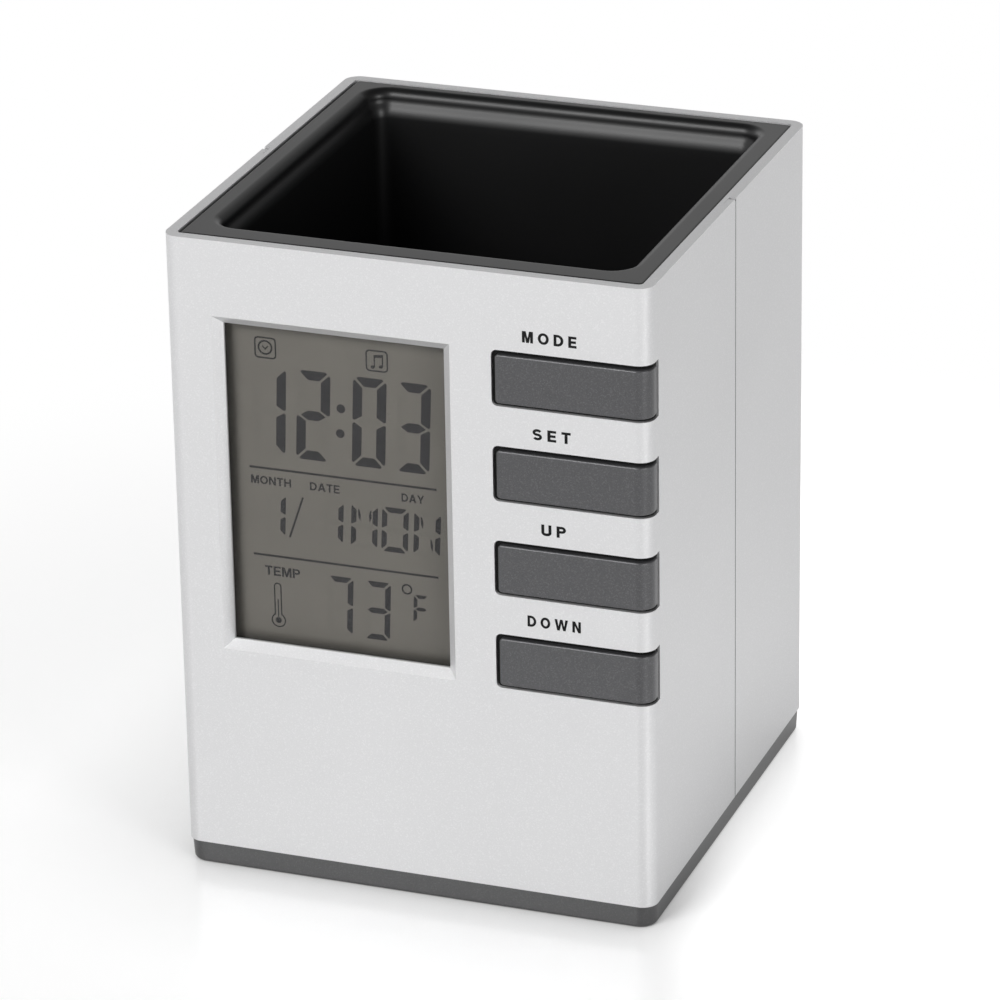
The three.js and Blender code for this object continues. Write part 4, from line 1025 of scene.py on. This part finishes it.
class OBJECT_OT_pen_clock_display(bpy.types.Operator):
    """Display: lit and unlit bars, rules, words and small pictures on the liquid crystal plate"""
    bl_idname = "object.pen_clock_display"
    bl_label = "Display"

    def execute(self, context):
        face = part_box("lcd_front_glass")[0].y
        faint = 0.008 * MM
        drawn("unlit_bars", [outline for line in (TIME, DATE, HEAT, DAY) for outline in digits(line, lit=False)],
              DOT, (DISPLAY_LEFT, face, DISPLAY_TOP), faint, "unlit_liquid_crystal")
        slivers = [[(x, y), (x + 7 * side, y + 6), (x + 12 * side, y + 30), (x + 9 * side, y + 59), (x, y + 36)]
                   for x, y, side in ((590, 826, 1), (651, 826, -1), (877, 825, 1), (919, 925, 1))]
        for name, outlines in (
                ("time_bars", digits(TIME) + [disc(524, 372, 20), disc(518, 487, 20)]),
                ("date_bars", digits(DATE) + [ribbon([(336, 808), (269, 1003)], 9)]),
                ("day_bars", digits(DAY) + slivers),
                ("heat_bars", digits(HEAT) + digits(UNIT)),
                ("degree_ring", [disc(806, 1175, 25), disc(806, 1175, 17)]),
                ("rules", [ribbon([(92, 692), (952, 692)], 10), ribbon([(97, 1101), (952, 1101)], 10)]),
                ("alarm_picture", self.frame(134, 235) + [disc(184, 132, 34), disc(184, 132, 26)]
                 + [[(184, 144), (169, 127), (173, 123), (184, 135), (195, 123), (199, 127)]]),
                ("music_picture", self.frame(643, 745) + [self.notes()]),
                ("thermometer", [self.tube(18, 34, 1226), self.tube(12, 28, 1232),
                                 ribbon([(204, 1305), (204, 1388)], 5), disc(204, 1404, 14)])):
            drawn(name, outlines, DOT, (DISPLAY_LEFT, face, DISPLAY_TOP), PRINT, "lit_liquid_crystal")
        for text, left, right, top, bottom in (("MONTH", 97, 283, 730, 768), ("DATE", 370, 507, 730, 768),
                                               ("DAY", 791, 894, 728, 766), ("TEMP", 148, 312, 1150, 1194)):
            word(f"word_{text.lower()}", text,
                 (DISPLAY_LEFT + left * DOT, DISPLAY_LEFT + right * DOT,
                  DISPLAY_TOP - bottom * DOT, DISPLAY_TOP - top * DOT), face, "lit_liquid_crystal", gap=0.12)
        return {"FINISHED"}

    def frame(self, left, right):
        """The thin rounded frame round a small picture."""
        return [rounded(left, 84, right, 183, 18), rounded(left + 7, 91, right - 7, 176, 12)]

    def notes(self):
        """Two beamed notes, as one outline that runs round both heads and stems."""
        return [(680, 108), (723, 102), (723, 156), (717, 165), (706, 165), (702, 158), (707, 151), (717, 150),
                (717, 116), (686, 120), (686, 161), (680, 170), (669, 170), (665, 163), (670, 156), (680, 155)]

    def tube(self, half, bulb, top):
        """The outline of a thermometer: a tube with a round top that opens into a bulb."""
        neck = math.degrees(math.asin(half / bulb))
        return bow(204, top + half, half, half, 180, 360, 8) + bow(204, 1404, bulb, bulb, neck - 90, 270 - neck, 28)


class OBJECT_OT_pen_clock_labels(bpy.types.Operator):
    """Labels: the plain words printed above the keys"""
    bl_idname = "object.pen_clock_labels"
    bl_label = "Key Labels"

    def execute(self, context):
        front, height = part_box("front_shell")[0].y, 1.83
        for text, left, right, bottom in (("MODE", 18.93, 27.5, 95.25), ("SET", 20.36, 26.43, 79.75),
                                          ("UP", 21.57, 25.5, 64.3), ("DOWN", 19.14, 27.71, 48.95)):
            word(f"label_{text.lower()}", text, [size * MM for size in (left, right, bottom, bottom + height)],
                 front, "pad_printed_ink", gap=0.42, stem=0.24)
        return {"FINISHED"}


# Parts inside

INSIDE = {
    "reflective_display_glass": ["lcd_front_glass"],
    "float_glass": ["lcd_rear_glass"],
    "brushed_reflector_foil": ["rear_reflector"],
    "moulded_white_abs": ["lcd_holder", *nodes_of("switch_plunger", KEYS)],
    "layered_silicone": nodes_of("contact_strip", ("upper", "lower")),
    "green_solder_mask": ["circuit_board"],
    "cast_black_epoxy": ["chip_blob", "temperature_sensor"],
    "moulded_black_abs": ["buzzer", *nodes_of("switch_body", KEYS)],
    "nickel_plated_steel": ["quartz_crystal", *nodes_of("contact", ("positive", "negative", "bridge")),
                            *nodes_of("board_screw", range(1, 5))],
    "fired_ceramic": nodes_of("chip_capacitor", (1, 2)),
    "shrunk_cell_jacket": nodes_of("cell", ("left", "right")),
    "red_wire_insulation": ["battery_lead_red"],
    "black_wire_insulation": ["battery_lead_black"],
}


class OBJECT_OT_pen_clock_inside(bpy.types.Operator):
    """Clockwork and power: gives the carried parts inside the housing their finishes"""
    bl_idname = "object.pen_clock_inside"
    bl_label = "Parts Inside"

    def execute(self, context):
        for finish_name, nodes in INSIDE.items():
            for node in nodes:
                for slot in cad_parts[node].material_slots:
                    slot.material = bpy.data.materials[finish_name]
        return {"FINISHED"}


# Studio

LAMPS = (  # name, place and width in metres, power in watts
    ("front_lamp", (-0.45, -1.06, 0.8), 0.6, 11),
    ("right_lamp", (1.17, -0.73, 0.4), 0.5, 6.5),
    ("left_lamp", (-1.2, 0.75, 0.45), 0.8, 2),
)


def seen_rays(owner, mirrored=1):
    """One where a ray from the camera or clear plastic meets the surface, a share in reflections, or zero."""
    rays = add_node(owner, "LightPath")
    total = add_node(owner, "Math", {"operation": "MULTIPLY", 0: rays["Is Glossy Ray"], 1: mirrored})[0]
    for kind in ("Is Camera Ray", "Is Transmission Ray"):
        total = add_node(owner, "Math", {"operation": "MAXIMUM", 0: total, 1: rays[kind]})[0]
    return total


class OBJECT_OT_pen_clock_stage(bpy.types.Operator):
    """Stage: a pale floor that keeps the shadow, a white surround, soft lamps and the camera"""
    bl_idname = "object.pen_clock_stage"
    bl_label = "Stage"

    def execute(self, context):
        self.floor(context.scene.pen_clock.colours)
        self.surround(context.scene)
        self.lamps()
        self.camera(context.scene)
        context.scene.view_settings.view_transform = "Standard"
        return {"FINISHED"}

    def floor(self, colours):
        """A matt white board with a faint gloss, fading to pure white away from the object."""
        only(None)
        bpy.ops.mesh.primitive_grid_add(x_subdivisions=24, y_subdivisions=24, size=8)
        board = settle(bpy.context.active_object, "floor")
        material, surface, place = new_finish("matt_white_board", {"Roughness": 0.22})
        seen = seen_rays(material, mirrored=0.75)
        # Painted light and shade: white glow is added where the object doesn't close the floor in, so the floor
        # darkens near it like a contact shadow, and more glow on the lamp's side, like light from the right.
        painted_contact_shade = add_node(material, "AmbientOcclusion", {"Distance": 36 * MM, "samples": 8})["AO"]
        across = add_node(material, "VectorMath", {"operation": "DOT_PRODUCT", 0: place, 1: (0.9, 0.44, 0)})["Value"]
        painted_side_light = add_node(material, "MapRange", {
            "interpolation_type": "SMOOTHSTEP", "Value": across, "From Min": 14 * MM, "From Max": 38 * MM,
            "To Min": 0.51, "To Max": 1.25})["Result"]
        lift = add_node(material, "Math", {"operation": "MULTIPLY", 0: seen, 1: painted_contact_shade})[0]
        grain = add_node(material, "TexNoise", {"Scale": per_mm(4), "Detail": 2, "Vector": place})["Fac"]
        feed(material, surface, {
            "Base Color": mottled(material, grain, colours.floor, 0.005),
            "Emission Color": (1, 1, 1, 1),
            "Emission Strength": add_node(material, "Math", {"operation": "MULTIPLY", 0: lift, 1: painted_side_light})[0]})
        away = add_node(material, "VectorMath", {"operation": "LENGTH", 0: place})["Value"]
        fade = add_node(material, "MapRange", {
            "interpolation_type": "SMOOTHSTEP", "Value": away, "From Min": 0.08, "From Max": 0.2})["Result"]
        share = add_node(material, "Math", {"operation": "MULTIPLY", 0: fade, 1: seen})[0]
        white = add_node(material, "Emission", {"Strength": 1})["Emission"]
        mixed = add_node(material, "MixShader", {0: share, 1: surface.outputs["BSDF"], 2: white})["Shader"]
        feed(material, material.node_tree.nodes["Material Output"], {"Surface": mixed})
        painted(board, material.name)

    def surround(self, scene):
        """White where it is seen, duller to the right and above where it is mirrored, and grey where it lights."""
        world = bpy.data.worlds.new("white_surround")
        world.use_nodes = True
        scene.world = world
        parts = add_node(world, "SeparateXYZ", {0: add_node(world, "TexCoord")["Generated"]})
        side = add_node(world, "MapRange", {
            "interpolation_type": "SMOOTHSTEP", "Value": parts["X"], "From Min": -0.1, "From Max": 0.45,
            "To Min": 1, "To Max": 0.25})["Result"]
        ceiling = add_node(world, "MapRange", {
            "interpolation_type": "SMOOTHSTEP", "Value": parts["Z"], "From Min": 0.35, "From Max": 0.7,
            "To Min": side, "To Max": 0.12})["Result"]
        mirrored = add_node(world, "MapRange", {
            "Value": seen_rays(world), "To Min": 0.14, "To Max": ceiling})["Result"]
        camera_ray = add_node(world, "LightPath")["Is Camera Ray"]
        feed(world, world.node_tree.nodes["Background"], {
            "Color": (1, 1, 1, 1),
            "Strength": add_node(world, "MapRange", {"Value": camera_ray, "To Min": mirrored})["Result"]})

    def lamps(self):
        """Soft square lamps aimed at the middle of the object."""
        aim = Vector((0, 0, 52 * MM))
        for name, place, size, power in LAMPS:
            only(None)
            bpy.ops.object.light_add(type="AREA", location=place)
            light = bpy.context.active_object
            light.name = name
            light.data.shape = "SQUARE"
            light.data.size = size
            light.data.energy = power
            light.rotation_euler = (Vector(place) - aim).to_track_quat("Z", "Y").to_euler()

    def camera(self, scene):
        """The viewpoint of the photograph."""
        turn, tilt, roll = 0.3551245, 0.4039110, -0.0172195
        place = Vector((279.192, -751.394, 393.992)) * MM
        only(None)
        bpy.ops.object.camera_add()
        camera = bpy.context.active_object
        camera.name = "camera"
        camera.data.lens = 197.4684
        camera.data.sensor_width = 36
        camera.matrix_world = (Matrix.Translation(place) @ Matrix.Rotation(turn, 4, "Z")
                               @ Matrix.Rotation(math.pi / 2 - tilt, 4, "X") @ Matrix.Rotation(roll, 4, "Z"))
        scene.camera = camera


# Add-on

STEPS = (
    OBJECT_OT_pen_clock_stage,
    OBJECT_OT_pen_clock_front_shell,
    OBJECT_OT_pen_clock_rear_shell,
    OBJECT_OT_pen_clock_cup,
    OBJECT_OT_pen_clock_base,
    OBJECT_OT_pen_clock_door,
    OBJECT_OT_pen_clock_feet,
    OBJECT_OT_pen_clock_keys,
    OBJECT_OT_pen_clock_window,
    OBJECT_OT_pen_clock_display,
    OBJECT_OT_pen_clock_labels,
    OBJECT_OT_pen_clock_inside,
)


class VIEW3D_PT_pen_clock(bpy.types.Panel):
    """Lists the pieces and their settings"""
    bl_idname = "VIEW3D_PT_pen_clock"
    bl_label = "Pen Holder Clock"
    bl_space_type = "VIEW_3D"
    bl_region_type = "UI"
    bl_category = "Pen Clock"

    def draw(self, context):
        clock = context.scene.pen_clock
        for step in STEPS:
            self.layout.operator(step.bl_idname)
        for name in PenClock.__annotations__:
            box = self.layout.box()
            box.label(text=name.title())
            group = getattr(clock, name)
            for setting in group.__annotations__:
                box.prop(group, setting)


CLASSES = (HousingSizes, CupSizes, KeySizes, BaseSizes, Colours, PenClock, *STEPS, VIEW3D_PT_pen_clock)


def register():
    for each in CLASSES:
        bpy.utils.register_class(each)
    bpy.types.Scene.pen_clock = bpy.props.PointerProperty(type=PenClock)


def unregister():
    del bpy.types.Scene.pen_clock
    for each in reversed(CLASSES):
        bpy.utils.unregister_class(each)


def main():
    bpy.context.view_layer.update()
    register()
    make_finishes(bpy.context.scene.pen_clock.colours)
    for step in STEPS:
        getattr(bpy.ops.object, step.bl_idname.split(".")[1])()


if __name__ == "__main__":
    main()
